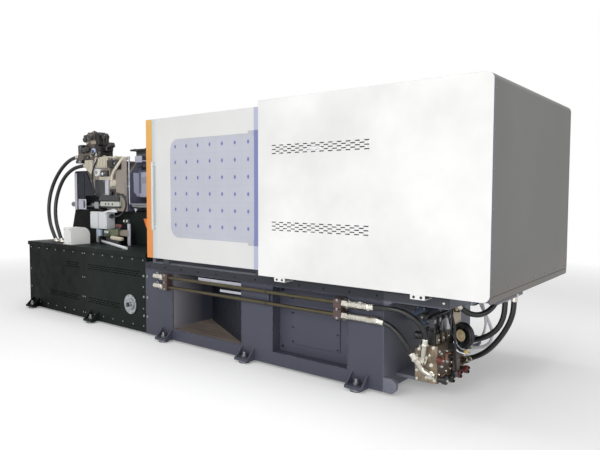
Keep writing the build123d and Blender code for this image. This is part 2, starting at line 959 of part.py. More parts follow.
# Toggle places in the XZ plane, at rest with the clamp open
closed_face_x = fixed_platen_right_x + mould_height
closed_pin_x = closed_face_x + moving_platen_thickness + lug_back
tail_pin_x = closed_pin_x + 2 * link_length
rest_pin_x = tail_pin_x - 2 * link_length * cos(radians(fold_angle))
moving_back_x = rest_pin_x - lug_back
moving_face_x = moving_back_x - moving_platen_thickness
tail_face_x = tail_pin_x + tail_lug_reach
tail_back_x = tail_face_x + tail_platen_thickness
pin_z = machine_axis_z + pin_height
tail_pin = (tail_pin_x, pin_z)
platen_pin = (rest_pin_x, pin_z)
knee_pin = (
    tail_pin_x - link_length * cos(radians(fold_angle)),
    pin_z - link_length * sin(radians(fold_angle)),
)
ear_pin = (
    tail_pin_x - ear_radius * cos(radians(fold_angle + ear_angle)),
    pin_z - ear_radius * sin(radians(fold_angle + ear_angle)),
)
crosshead_x = tail_pin_x - 2 * ear_radius * cos(radians(fold_angle + ear_angle))
crosshead_pin = (crosshead_x, pin_z)

# Lanes of the toggle from the middle plane outwards
small_lane = (crosshead_half + lane_gap, crosshead_half + lane_gap + small_link_width)
inner_lane = (small_lane[1] + lane_gap, small_lane[1] + lane_gap + front_link_width)
middle_lane = (inner_lane[1] + lane_gap, inner_lane[1] + lane_gap + rear_link_width)
outer_lane = (middle_lane[1] + lane_gap, middle_lane[1] + lane_gap + front_link_width)


def lug(pin, back_x, lane):
    """A lug of a platen round one toggle pin."""
    x0, x1 = sorted((pin[0], back_x))
    web = block((x0, x1), lane, (pin[1] - link_half_width, pin[1] + link_half_width))
    return web + rod_y(lane[0], lane[1], pin[0], pin[1], link_half_width)


def make_moving_platen():
    body = platen_outline(moving_face_x, moving_back_x)
    body = body + platen_feet(moving_face_x, moving_back_x, bed_top_z + sliding_gap)
    pin = rod_y(inner_lane[0], outer_lane[1], platen_pin[0], platen_pin[1], link_pin_radius)
    joint = lug(platen_pin, moving_back_x, middle_lane) + pin
    joint = joint + above_and_below(joint)
    cylinders = [
        rod_x(
            moving_back_x, moving_back_x + ejector_cylinder_length,
            0, machine_axis_z + level * ejector_cylinder_offset, ejector_cylinder_radius,
        )
        for level in (-1, 1)
    ]
    rods = [
        rod_x(
            moving_back_x - ejector_travel, moving_back_x + ejector_cylinder_length,
            0, machine_axis_z + level * ejector_cylinder_offset, ejector_side_rod_radius + fit_clearance,
        )
        for level in (-1, 1)
    ]
    middle = rod_x(moving_face_x, moving_back_x, 0, machine_axis_z, ejector_rod_radius + fit_clearance)
    body = body + joint + other_side(joint) + cylinders - rods - middle
    body = body - tie_bar_bores(moving_face_x, moving_back_x, fit_clearance)
    return body - mould_holes(moving_face_x, 1)


def make_tail_platen():
    """Platen behind the toggle with a pair of lugs bolted on at each tail pin."""
    body = platen_outline(tail_face_x, tail_back_x)
    body = body + platen_feet(tail_face_x, tail_back_x, bed_top_z + sliding_gap)
    pin = rod_y(inner_lane[0], outer_lane[1], tail_pin[0], tail_pin[1], link_pin_radius)
    joint = lug(tail_pin, tail_face_x, inner_lane) + lug(tail_pin, tail_face_x, outer_lane) + pin
    body = body - tie_bar_bores(tail_face_x, tail_back_x, fit_clearance)
    body = body - rod_x(tail_face_x, tail_back_x, 0, machine_axis_z, clamp_cylinder_radius)
    joints = [joint, above_and_below(joint)]
    return Compound([body] + joints + [other_side(piece) for piece in joints])


def make_adjusting_nuts():
    nuts = []
    for y, z in tie_bar_places():
        nut = rod_x(tail_back_x, tail_back_x + nut_thickness, y, z, nut_radius)
        bore = rod_x(tail_back_x, tail_back_x + nut_thickness, y, z, tie_bar_radius + fit_clearance)
        nuts.append(nut - bore)
    return Compound(nuts)


def make_clamp_cylinder():
    flange_end = tail_back_x + clamp_flange_thickness
    end = tail_back_x + clamp_cylinder_length
    flange = rod_x(tail_back_x, flange_end, 0, machine_axis_z, clamp_flange_radius)
    tube = rod_x(flange_end, end, 0, machine_axis_z, clamp_cylinder_radius)
    cap = rod_x(end, end + clamp_flange_thickness, 0, machine_axis_z, clamp_flange_radius)
    bore = rod_x(
        tail_back_x, end - clamp_flange_thickness, 0, machine_axis_z, piston_rod_radius + fit_clearance
    )
    return flange + tube + cap - bore


def make_rear_link():
    """Upper link from the tail pin to the knee, with the ear that the small link pulls."""
    plate = bar_link(tail_pin, knee_pin, link_half_width, *middle_lane)
    ear = bar_link(tail_pin, ear_pin, ear_half_width, *middle_lane)
    bore = rod_y(middle_lane[0], middle_lane[1], tail_pin[0], tail_pin[1], link_pin_radius + fit_clearance)
    knee = rod_y(inner_lane[0], outer_lane[1], knee_pin[0], knee_pin[1], link_pin_radius)
    pull = rod_y(small_lane[0], middle_lane[1], ear_pin[0], ear_pin[1], small_pin_radius)
    link = plate + ear - bore + knee + pull
    return Compound([link, other_side(link)])


def make_front_link():
    """Upper link from the knee to the moving platen: a plate on each side of the rear link."""
    plates = []
    for lane in (inner_lane, outer_lane):
        plate = bar_link(knee_pin, platen_pin, link_half_width, *lane)
        bores = [
            rod_y(lane[0], lane[1], pin[0], pin[1], link_pin_radius + fit_clearance)
            for pin in (knee_pin, platen_pin)
        ]
        plate = plate - bores
        plates = plates + [plate, other_side(plate)]
    return Compound(plates)


def make_small_link():
    plate = bar_link(ear_pin, crosshead_pin, ear_half_width, *small_lane)
    bores = [
        rod_y(small_lane[0], small_lane[1], pin[0], pin[1], small_pin_radius + fit_clearance)
        for pin in (ear_pin, crosshead_pin)
    ]
    plate = plate - bores
    return Compound([plate, other_side(plate)])


def make_crosshead():
    """Crosshead on the piston rod, with a pin at each end for the small links."""
    x0 = crosshead_x - crosshead_half_thickness
    x1 = crosshead_x + crosshead_half_thickness
    profile = [
        (x0, machine_axis_z - pin_height),
        (x1, machine_axis_z - pin_height),
        (x1, machine_axis_z + pin_height),
        (x0, machine_axis_z + pin_height),
    ]
    body = slab_y(profile, -crosshead_half, crosshead_half)
    for level in (-1, 1):
        z = machine_axis_z + level * pin_height
        body = body + rod_y(-crosshead_half, crosshead_half, crosshead_x, z, crosshead_half_thickness)
        body = body + rod_y(-small_lane[1], small_lane[1], crosshead_x, z, small_pin_radius)
        pocket_z = machine_axis_z + level * (pin_height + crosshead_waist) / 2
        pocket = block(
            (x0, x1),
            (crosshead_web, crosshead_half),
            (pocket_z - crosshead_waist / 2, pocket_z + crosshead_waist / 2),
        )
        body = body - pocket - other_side(pocket)
    travel = 2 * ear_radius * (cos(radians(ear_angle)) - cos(radians(fold_angle + ear_angle)))
    rod_end = tail_back_x + travel + clamp_flange_thickness
    return body + rod_x(crosshead_x, rod_end, 0, machine_axis_z, piston_rod_radius)


def make_ejector():
    """Ejector plate behind the moving platen with its middle rod and two drive rods."""
    x0 = moving_back_x + ejector_plate_back
    x1 = x0 + ejector_plate_thickness
    plate = block(
        (x0, x1),
        (-ejector_half_width, ejector_half_width),
        (machine_axis_z - ejector_half_height, machine_axis_z + ejector_half_height),
    )
    plate = chamfer(plate.edges().filter_by(Axis.X), ejector_corner)
    middle = rod_x(moving_face_x + ejector_travel + sliding_gap, x0, 0, machine_axis_z, ejector_rod_radius)
    sides = [
        rod_x(
            moving_back_x + ejector_cylinder_length / 2, x0,
            0, machine_axis_z + level * ejector_cylinder_offset, ejector_side_rod_radius,
        )
        for level in (-1, 1)
    ]
    return plate + middle + sides


# Fixed cover over the clamp
def cover_vents(z_middle, rows):
    cuts = []
    for row in range(rows):
        odd = row % 2
        z = z_middle + (row - (rows - 1) / 2) * vent_pitch_z
        for column in range(vent_columns - odd):
            x = vent_left_x + vent_slot_length / 2 + vent_pitch_x * (column + odd / 2)
            cuts.append(slot_y(
                x, z, vent_slot_length, vent_slot_height,
                -cover_half_width, -cover_half_width + cover_sheet,
            ))
    return cuts


def make_cover_side(vent_levels, rows):
    """Side sheet with folded edges, rounded at the machine's end, and two bolted tabs below."""
    outer = -cover_half_width
    inner = outer + cover_sheet
    sheet = block((cover_left_x, right_end), (outer, inner), (cover_bottom_z, cover_top_z))
    end_edges = [
        edge for edge in sheet.edges().filter_by(Axis.Y) if edge.center().X > right_end - 1
    ]
    sheet = fillet(end_edges, cover_corner_radius)
    flat_end = right_end - cover_corner_radius
    left_fold = block(
        (cover_left_x, cover_left_x + cover_sheet), (inner, outer + cover_return), (cover_bottom_z, cover_top_z)
    )
    lower_fold = block(
        (cover_left_x, flat_end), (inner, outer + cover_return), (cover_bottom_z, cover_bottom_z + cover_sheet)
    )
    upper_fold = block(
        (cover_left_x, flat_end),
        (inner, outer + cover_return),
        (cover_top_z - 2 * cover_sheet, cover_top_z - cover_sheet),
    )
    left_fold = left_fold - block(
        (cover_left_x, flat_end), (inner, outer + cover_return), (cover_top_z - cover_sheet, cover_top_z)
    )
    side = sheet + left_fold + lower_fold + upper_fold
    for x in bracket_x:
        span = (x - bracket_width / 2, x + bracket_width / 2)
        low = cover_bottom_z - bracket_drop
        tab = block(span, (inner, inner + bracket_sheet), (low, cover_bottom_z + bracket_rise))
        arm = block(span, (inner, -bed_half_width), (low, low + bracket_sheet))
        side = side + tab + arm
        for hole_x in (x - bracket_width / 4, x + bracket_width / 4):
            side = side - rod_y(
                inner, inner + bracket_sheet, hole_x, low + bracket_drop / 2, bracket_hole_radius
            )
    cuts = []
    for level in vent_levels:
        cuts = cuts + cover_vents(level, rows)
    return side - cuts


def make_cover_top():
    inner = cover_half_width - cover_sheet
    top = block(
        (cover_left_x, right_end - cover_corner_radius),
        (-inner, inner),
        (cover_top_z - cover_sheet, cover_top_z),
    )
    fold = block(
        (cover_left_x, cover_left_x + cover_sheet),
        (-cover_half_width + cover_return, cover_half_width - cover_return),
        (cover_top_z - cover_top_fold, cover_top_z - cover_sheet),
    )
    return top + fold


def make_cover_end():
    """End sheet that bends over at the top and under at the bottom."""
    inner = cover_half_width - cover_sheet
    profile = RectangleRounded(
        2 * cover_corner_radius + 4 * cover_return, cover_top_z - cover_bottom_z, cover_corner_radius
    )
    width = 2 * cover_corner_radius + 4 * cover_return
    height = cover_top_z - cover_bottom_z
    hollow = RectangleRounded(
        width - 2 * cover_sheet, height - 2 * cover_sheet, cover_corner_radius - cover_sheet
    )
    ring = extrude(profile - hollow, inner, both=True)
    ring = Pos(right_end - width / 2, 0, (cover_top_z + cover_bottom_z) / 2) * Rot(90, 0, 0) * ring
    top_end = right_end - cover_corner_radius
    keep = block((top_end, right_end), (-inner, inner), (cover_bottom_z, cover_top_z))
    return ring & keep


# Sliding gates
def make_gate():
    """Rear gate: a folded sheet with a window, a handle and shoes on the two tracks."""
    outer = -gate_y
    inner = outer + gate_sheet
    deep = outer + gate_return
    body = block((gate_left_x, gate_right_x), (outer, deep), (gate_bottom_z, gate_top_z))
    body = body - block(
        (gate_left_x + gate_sheet, gate_right_x - gate_sheet),
        (inner, deep),
        (gate_bottom_z + gate_sheet, gate_top_z - gate_sheet),
    )
    body = body - rounded_y(
        (window_left_x, window_right_x), (window_bottom_z, window_top_z), outer, inner, window_radius
    )
    bar_y = outer - handle_standoff
    bar = rod_z(handle_bottom_z, handle_top_z, handle_x, bar_y, handle_radius)
    for z in (handle_bottom_z + 2 * handle_radius, handle_top_z - 2 * handle_radius):
        bar = bar + rod_y(bar_y, outer, handle_x, z, handle_leg_radius)
    body = body + bar
    track_inner = -track_outer_y + track_width
    for x in (gate_left_x + shoe_width, gate_right_x - 2 * shoe_width):
        hanger = block(
            (x, x + shoe_width),
            (deep - gate_sheet, track_inner),
            (upper_track_top_z + sliding_gap, upper_track_top_z + sliding_gap + shoe_thickness),
        )
        guide = block(
            (x, x + shoe_width),
            (deep - gate_sheet, -track_outer_y - sliding_gap),
            (gate_bottom_z, gate_bottom_z + shoe_thickness),
        )
        leg = block(
            (x, x + shoe_width),
            (-track_outer_y - sliding_gap - shoe_thickness, -track_outer_y - sliding_gap),
            (bed_top_z + guide_clearance, gate_bottom_z),
        )
        strap = block(
            (x, x + shoe_width),
            (deep - gate_sheet, deep),
            (upper_track_top_z - shoe_width, gate_top_z),
        )
        body = body + hanger + guide + leg + strap
        body = body + block(
            (x, x + shoe_width), (deep - gate_sheet, deep), (gate_bottom_z, gate_bottom_z + shoe_width)
        )
    return body


def make_gate_window():
    front = -gate_y + gate_sheet
    return rounded_y(
        (window_left_x - window_lap, window_right_x + window_lap),
        (window_bottom_z - window_lap, window_top_z + window_lap),
        front,
        front + window_pane,
        window_radius + window_lap,
    )


def make_gate_edge():
    """Leading edge of the rear gate, a folded channel."""
    outer = -gate_y
    left = gate_left_x - gate_edge_width
    body = block((left, gate_left_x), (outer, outer + gate_return), (gate_bottom_z, gate_top_z))
    return body - block(
        (left + gate_sheet, gate_left_x - gate_sheet),
        (outer + gate_sheet, outer + gate_return),
        (gate_bottom_z, gate_top_z),
    )


def make_gate_tracks():
    """Frame on the bed that carries the upper and lower track of both gates."""
    left = gate_left_x - gate_edge_width
    track_y = (-track_outer_y, -track_outer_y + track_width)
    upper = block((left, track_right_x), track_y, (upper_track_top_z - upper_track_height, upper_track_top_z))
    lower = block((left, bed_right_x), track_y, (bed_top_z, bed_top_z + lower_track_height))
    post_y = (-track_outer_y, -track_outer_y + track_post)
    side = upper + lower
    frame_top = upper_track_top_z - upper_track_height
    for x in (left, bed_right_x - track_post):
        side = side + block((x, x + track_post), post_y, (bed_top_z, frame_top))
    frame = side + other_side(side)
    for x in (left, bed_right_x - track_post):
        frame = frame + block(
            (x, x + track_post), (-track_outer_y, track_outer_y), (frame_top - track_post, frame_top)
        )
    return frame


# Pipes, their clamps and fittings on the rear side of the clamp bed
def make_pipe(z):
    return rod_x(pipe_left_x, pipe_right_x, pipe_y, z, pipe_radius)


def make_pipe_clamps():
    blocks = []
    middle = (upper_pipe_z + lower_pipe_z) / 2
    for x in (clamp_left_x, clamp_right_x):
        body = block(
            (x - clamp_block_length / 2, x + clamp_block_length / 2),
            (pipe_y - pipe_radius - clamp_block_wall, -bed_half_width),
            (middle - clamp_block_half_height, middle + clamp_block_half_height),
        )
        body = chamfer(body.edges().filter_by(Axis.X), clamp_block_chamfer)
        for z in (upper_pipe_z, lower_pipe_z):
            body = body - rod_x(
                x - clamp_block_length / 2, x + clamp_block_length / 2, pipe_y, z, pipe_radius + fit_clearance
            )
        blocks.append(body)
    return Compound(blocks)


def hex_x(x0, x1, y, z, radius):
    nut = extrude(RegularPolygon(radius, 6), abs(x1 - x0))
    return Pos(min(x0, x1), y, z) * Rot(0, 90, 0) * nut


def make_pipe_fittings():
    pieces = []
    for z, end in ((upper_pipe_z, upper_fitting_end_x), (lower_pipe_z, lower_fitting_end_x)):
        nut_end = pipe_right_x + fitting_nut_length
        nut = hex_x(pipe_right_x, nut_end, pipe_y, z, fitting_hex_radius)
        sleeve = rod_x(nut_end, end, pipe_y, z, fitting_radius)
        collar_end = end - fitting_collar_gap
        collar = hex_x(collar_end - fitting_collar_length, collar_end, pipe_y, z, fitting_hex_radius)
        pieces.append(nut + sleeve + collar)
        nut_end = pipe_left_x - fitting_nut_length
        turn_x = pipe_left_x - left_fitting_length
        nut = hex_x(nut_end, pipe_left_x, pipe_y, z, fitting_hex_radius)
        sleeve = rod_x(turn_x, nut_end, pipe_y, z, fitting_radius)
        inlet = rod_y(pipe_y, -bed_half_width, turn_x, z, fitting_radius)
        pieces.append(nut + sleeve + inlet)
    return Compound(pieces)


def make_elbows():
    """Rigid pipe bends that turn the two hoses of the pipes into the manifold."""
    face = manifold_near_y - inlet_boss
    x, y, z = upper_elbow_end
    upper = rod_between(upper_elbow_start, upper_elbow_end, upper_elbow_radius)
    upper = upper + rod_y(y - upper_elbow_radius, face, x, z, fitting_radius)
    route = FilletPolyline(lower_elbow_start, lower_elbow_middle, lower_elbow_end, radius=lower_elbow_bend)
    start = Plane(origin=route @ 0, z_dir=route % 0)
    bend = sweep(start * Circle(lower_elbow_radius), path=route)
    x, y, z = lower_elbow_end
    inlet = rod_y(y - lower_elbow_radius, face, x, z, fitting_radius)
    return [upper, bend + inlet]


# Manifold at the clamp end with its valves, and a port for each hose that ends in its end face
def hose_port(points, radius):
    """Short fitting from the manifold's end face, in line with the last run of its hose."""
    before, end = points[-2:]
    reach = (end[0] - manifold_right_x + port_shell) / (before[0] - end[0])
    root = [last + (last - first) * reach for first, last in zip(before, end)]
    return rod_between(end, root, radius + port_shell)


def make_manifold_block():
    body = block(
        (manifold_left_x, manifold_right_x), (manifold_near_y, manifold_far_y), (shelf_top_z, manifold_top_z)
    )
    body = chamfer(body.edges().filter_by(Axis.Z), port_shell)
    step = block(
        (manifold_left_x, manifold_left_x + manifold_step),
        (manifold_near_y, manifold_far_y),
        (manifold_top_z - manifold_step, manifold_top_z),
    )
    body = body - step
    for points, radius in (
        (outer_hose_points, hose_radius), (inner_hose_points, hose_radius), (grey_tube_points, grey_hose_radius)
    ):
        body = body + hose_port(points, radius)
    for end in (upper_elbow_end, lower_elbow_end):
        body = body + rod_y(manifold_near_y - inlet_boss, manifold_near_y, end[0], end[2], fitting_hex_radius)
    return body


def make_manifold_valves():
    """A row of solenoid valves on the manifold and adjusting screws low on its end."""
    left = valve_x - valve_size / 2
    right = valve_x + valve_size / 2
    count = int((manifold_far_y - manifold_near_y - valve_size) // valve_pitch) + 1
    coil_z = manifold_top_z + coil_rise
    pieces = []
    for number in range(count):
        y = manifold_near_y + valve_pitch / 2 + valve_pitch * number
        body = block(
            (left, right),
            (y - valve_size / 2, y + valve_size / 2),
            (manifold_top_z, manifold_top_z + valve_height),
        )
        body = body + rod_x(left - coil_length, left, y, coil_z, coil_radius)
        body = body + rod_z(
            manifold_top_z + valve_height, manifold_top_z + valve_top_height, valve_x, y, valve_top_radius
        )
        pieces.append(body)
    for y in screw_y:
        z = shelf_top_z + screw_cap_radius
        screw = rod_x(manifold_right_x, manifold_right_x + screw_length, y, z, screw_radius)
        cap = rod_x(
            manifold_right_x + screw_length, manifold_right_x + 2 * screw_length, y, z, screw_cap_radius
        )
        pieces.append(screw + cap)
    return Compound(pieces)


def make_oil_filter():
    """Round filter head on a neck from the manifold, with a flat post that rises past it."""
    disc = Cylinder(filter_radius, filter_depth)
    recess = Pos(0, 0, filter_depth / 2 - filter_rim / 2) * Cylinder(filter_radius - filter_rim, filter_rim)
    cap = Pos(0, 0, filter_cap_rise) * Cylinder(filter_cap_radius, filter_depth)
    head = Pos(filter_x, filter_y, filter_z) * Rot(0, 0, filter_turn) * Rot(90, 0, 0) * (disc - recess + cap)
    neck_y = (filter_y - filter_neck_width / 2, filter_y + filter_neck_width / 2)
    neck_z = manifold_top_z - filter_neck_height - port_shell
    arm = block((manifold_right_x, filter_x), neck_y, (neck_z, neck_z + filter_neck_height))
    upright = block(
        (filter_x - filter_neck_width / 2, filter_x),
        (filter_y, filter_y + filter_depth / 2),
        (neck_z, filter_z),
    )
    post = block((post_left_x, post_right_x), (neck_y[1] - post_thickness, neck_y[1]), (neck_z, post_top_z))
    return head + arm + upright + post


def make_oil_cooler():
    """Oil cooler on two saddles on the end wall of the bed."""
    tube = rod_y(cooler_near_y, cooler_far_y, cooler_x, cooler_z, cooler_radius)
    flange = cooler_radius + cooler_flange
    saddle_width = 2 * bed_wall
    for end, way in ((cooler_near_y, 1), (cooler_far_y, -1)):
        tube = tube + rod_y(end, end + way * bed_wall, cooler_x, cooler_z, flange)
        saddle_y = end + way * 2 * flange
        tube = tube + block(
            (bed_right_x, cooler_x),
            (saddle_y - saddle_width / 2, saddle_y + saddle_width / 2),
            (cooler_z - flange, cooler_z - cooler_radius / 2),
        )
    return tube


# Rods that carry the injection unit, each held by a support on the plinth and by the fixed platen
def make_unit_rods():
    near = -unit_rod_y - support_wall
    far = -plinth_half_width + support_wall
    profile = [
        (far, plinth_top_z),
        (-plinth_half_width, plinth_top_z),
        (near, plinth_top_z + support_shoulder),
        (near, support_top_z - support_shoulder),
        (near + support_shoulder, support_top_z),
        (far - support_shoulder, support_top_z),
        (far, support_top_z - support_shoulder),
    ]
    rod = rod_x(unit_rod_left_x, fixed_platen_left_x, -unit_rod_y, unit_rod_z, unit_rod_radius)
    side = slab_x(profile, support_left_x, support_right_x) + rod
    return Compound([side, other_side(side)])


# Front housing of the injection unit with its two injection cylinders
def make_injection_housing():
    profile = [
        (-housing_half_width, housing_bottom_z),
        (housing_half_width, housing_bottom_z),
        (housing_half_width, cylinder_step_z),
        (housing_top_half_width, housing_top_z),
        (-housing_top_half_width, housing_top_z),
        (-housing_half_width, cylinder_step_z),
    ]
    body = slab_x(profile, housing_left_x, housing_right_x)
    cylinder = slab_y(
        [
            (cylinder_left_x, cylinder_bottom_z),
            (housing_left_x, cylinder_bottom_z),
            (housing_left_x, cylinder_top_z),
            (cylinder_step_x, cylinder_top_z),
            (cylinder_step_x, cylinder_step_z),
            (cylinder_left_x, cylinder_step_z),
        ],
        -housing_half_width,
        -cylinder_inner_y,
    )
    long_edges = [
        edge for edge in cylinder.edges().filter_by(Axis.X) if edge.center().Z > cylinder_step_z - 1
    ]
    cylinder = chamfer(long_edges, cylinder_chamfer)
    cylinder = cylinder - rod_x(
        cylinder_left_x, cylinder_left_x + 2 * ram_travel + cylinder_spare, -ram_rod_y, ram_rod_z,
        ram_rod_radius + fit_clearance,
    )
    bush_left_x = housing_left_x - guide_bush_length
    bush = rod_x(bush_left_x, housing_left_x, -unit_rod_y, unit_rod_z, guide_bush_radius)
    body = body + cylinder + other_side(cylinder) + bush + other_side(bush)
    bores = [
        rod_x(
            bush_left_x, housing_right_x, side * unit_rod_y, unit_rod_z,
            unit_rod_radius + fit_clearance,
        )
        for side in (-1, 1)
    ]
    seat = rod_x(housing_left_x, housing_right_x, 0, machine_axis_z, barrel_radius)
    feed = rod_z(machine_axis_z, housing_top_z, throat_x, 0, feed_drop_radius)
    return body - bores - seat - feed


def make_barrel():
    """Barrel with its heater bands and the nozzle that reaches into the fixed platen."""
    profile = Polyline(
        (housing_left_x, barrel_bore_radius),
        (housing_left_x, barrel_radius),
        (barrel_right_x, barrel_radius),
        (barrel_right_x, barrel_cap_radius),
        (barrel_right_x + barrel_cap_length, nozzle_radius),
        (nozzle_tip_x - nozzle_tip_length, nozzle_radius),
        (nozzle_tip_x, nozzle_tip_radius),
        (nozzle_tip_x, nozzle_hole_radius),
        (barrel_right_x, nozzle_hole_radius),
        (barrel_right_x - barrel_cap_length, barrel_bore_radius),
        close=True,
    )
    barrel = revolve(make_face(profile), Axis.X, 360)
    barrel = Pos(0, 0, machine_axis_z) * barrel
    for number in range(band_count):
        end = barrel_right_x - band_gap - number * band_pitch
        band = rod_x(end - band_length, end, 0, machine_axis_z, band_radius)
        barrel = barrel + (band - rod_x(end - band_length, end, 0, machine_axis_z, barrel_radius))
    feed = rod_z(machine_axis_z, machine_axis_z + barrel_radius, throat_x, 0, feed_drop_radius)
    return barrel - feed


def make_barrel_guard():
    """Perforated sheet guard bent over the barrel."""
    outline = [
        (-guard_half_width, guard_bottom_z),
        (guard_half_width, guard_bottom_z),
        (guard_half_width, guard_top_z),
        (-guard_half_width, guard_top_z),
    ]
    guard = slab_x(outline, housing_right_x, guard_right_x)
    upper_edges = [edge for edge in guard.edges().filter_by(Axis.X) if edge.center().Z > guard_top_z - 1]
    guard = fillet(upper_edges, guard_bend)
    inner = guard_half_width - guard_sheet
    hollow = slab_x(
        [
            (-inner, guard_bottom_z),
            (inner, guard_bottom_z),
            (inner, guard_top_z - guard_sheet),
            (-inner, guard_top_z - guard_sheet),
        ],
        housing_right_x,
        guard_right_x,
    )
    upper_edges = [
        edge for edge in hollow.edges().filter_by(Axis.X) if edge.center().Z > guard_top_z - guard_sheet - 1
    ]
    guard = guard - fillet(upper_edges, guard_bend - guard_sheet)
    holes = []
    for row in range(guard_hole_rows):
        shift = guard_hole_pitch / 2 * (row % 2)
        for column in range(guard_hole_columns):
            holes.append(slot_y(
                guard_hole_start_x + shift + guard_hole_pitch * column,
                guard_hole_top_z - 2 * guard_hole_height * row,
                guard_hole_length, guard_hole_height,
                -guard_half_width, -guard_half_width + guard_sheet,
            ))
    return guard - holes


def make_throat_block():
    """Feed throat with the plate that a hopper is bolted to."""
    body = block(
        (throat_x - throat_half_length, throat_x + throat_half_length),
        (-throat_half_width, throat_half_width),
        (housing_top_z, throat_top_z),
    )
    body = chamfer(body.edges().filter_by(Axis.Z), throat_chamfer)
    plate = block(
        (throat_x - throat_plate_half_length, throat_x + throat_plate_half_length),
        (-throat_plate_half_width, throat_plate_half_width),
        (throat_top_z, throat_top_z + throat_plate_thickness),
    )
    body = body + plate - rod_z(
        housing_top_z, throat_top_z + throat_plate_thickness, throat_x, 0, feed_bore_radius
    )
    for side in (-0.5, 0.5):
        for end in (-0.5, 0.5):
            body = body - rod_z(
                throat_top_z - throat_chamfer, throat_top_z + throat_plate_thickness,
                throat_x + end * hopper_hole_pitch, side * hopper_hole_pitch, hopper_hole_radius,
            )
    return body


def make_valve_stack():
    """Valve stack of the injection unit on top of the near injection cylinder."""
    y = (stack_near_y, stack_far_y)
    middle_y = (stack_near_y + stack_far_y) / 2
    low_left = cylinder_left_x + stack_foot_step
    foot_left = block((low_left, cylinder_step_x - 1), y, (cylinder_step_z, stack_foot_z))
    foot_right = block((cylinder_step_x - 1, stack_right_x - stack_step), y, (cylinder_top_z, stack_foot_z))
    middle_left = stack_left_x + stack_step
    middle = block((middle_left, stack_right_x), y, (stack_foot_z, stack_waist_z))
    middle = chamfer(middle.edges().filter_by(Axis.Y), stack_middle_chamfer)
    upper_left = stack_left_x + stack_upper_left
    upper_right = stack_right_x - stack_upper_right
    upper_y = (stack_near_y + stack_upper_inset, stack_far_y - stack_upper_inset)
    upper = block((upper_left, upper_right), upper_y, (stack_waist_z, stack_top_z))
    upper = chamfer(upper.edges().filter_by(Axis.Y), stack_upper_chamfer)
    stack = foot_left + foot_right + middle + upper
    waist_z = (stack_foot_z + stack_waist_z) / 2
    crown_z = (stack_waist_z + stack_top_z) / 2
    stack = stack + rod_x(
        stack_left_x - small_solenoid_length, middle_left,
        middle_y + stack_upper_inset, waist_z + small_solenoid_rise, solenoid_radius,
    )
    stack = stack + rod_x(
        upper_left - solenoid_length, upper_left, middle_y, crown_z + stack_upper_inset, solenoid_radius
    )
    stack = stack + rod_x(
        upper_right, stack_right_x + far_solenoid_length,
        middle_y, crown_z + far_solenoid_rise, far_solenoid_radius,
    )
    stack = stack + rod_y(
        stack_near_y - gauge_length, stack_near_y, stack_right_x - gauge_setback, waist_z, gauge_radius
    )
    outer_port = rod_x(outer_port_x, middle_left, port_y, outer_port_z, fitting_radius)
    inner_port = rod_x(inner_port_x, low_left, port_y, inner_port_z, fitting_radius)
    return stack + outer_port + inner_port


# Rear plate of the injection unit, its rods into the injection cylinders and the screw motor
def make_ram():
    half = ram_half_height
    bottom = machine_axis_z - half - ram_foot_drop
    profile = [
        (-ram_half_width, bottom),
        (ram_half_width, bottom),
        (ram_half_width, machine_axis_z + half / 2),
        (ram_top_half_width, machine_axis_z + half),
        (-ram_top_half_width, machine_axis_z + half),
        (-ram_half_width, machine_axis_z + half / 2),
    ]
    body = slab_x(profile, ram_left_x, ram_right_x)
    body = body - [
        rod_x(ram_left_x, ram_right_x, side * unit_rod_y, unit_rod_z, unit_rod_radius + fit_clearance)
        for side in (-1, 1)
    ]
    body = body - rod_x(
        ram_left_x + screw_seat, ram_right_x, 0, machine_axis_z, barrel_bore_radius + fit_clearance
    )
    rods = [
        rod_x(
            ram_right_x, cylinder_left_x + ram_travel + cylinder_spare,
            side * ram_rod_y, ram_rod_z, ram_rod_radius,
        )
        for side in (-1, 1)
    ]
    motor_left_x = ram_left_x - motor_length
    motor = rod_x(motor_left_x, ram_left_x, 0, machine_axis_z, motor_radius)
    cap = rod_x(motor_left_x - motor_cap_length, motor_left_x, 0, machine_axis_z, motor_cap_radius)
    return body + rods + motor + cap


def make_motor_cover():
    """Sheet cover bent over the rear plate and its rods, open below and at both ends."""
    outer = ram_half_width + guard_sheet
    box = block((cover_box_left_x, cover_box_right_x), (-outer, outer), (cover_box_bottom_z, cover_box_top_z))
    upper_edges = [edge for edge in box.edges().filter_by(Axis.X) if edge.center().Z > cover_box_top_z - 1]
    box = fillet(upper_edges, cover_box_bend)
    return box - block(
        (cover_box_left_x, cover_box_right_x),
        (-ram_half_width, ram_half_width),
        (cover_box_bottom_z, cover_box_top_z - cover_box_bend),
    )


def make_screw():
    """Plasticising screw: shank in the rear plate, plain body and a pointed tip."""
    body_radius = barrel_bore_radius - fit_clearance
    shank_left_x = ram_left_x + screw_seat + sliding_gap
    tip_x = barrel_right_x - screw_tip_gap
    profile = Polyline(
        (shank_left_x, 0),
        (shank_left_x, barrel_bore_radius),
        (ram_right_x + screw_shank, barrel_bore_radius),
        (ram_right_x + screw_shank, screw_neck_radius),
        (housing_left_x + screw_shank, screw_neck_radius),
        (housing_left_x + screw_shank, body_radius),
        (tip_x - screw_tip_length, body_radius),
        (tip_x, screw_tip_radius),
        (tip_x, 0),
        close=True,
    )
    return Pos(0, 0, machine_axis_z) * revolve(make_face(profile), Axis.X, 360)


# Loose covers and boxes on the deck
def far_top_edge(box, top_z):
    """The edge of a hood along the machine that lies at the top, on the side away from the deck's edge."""
    middle_y = (hood_near_y + hood_far_y) / 2
    edges = [edge for edge in box.edges().filter_by(Axis.X) if edge.center().Y > middle_y]
    return [edge for edge in edges if edge.center().Z > top_z - 1]


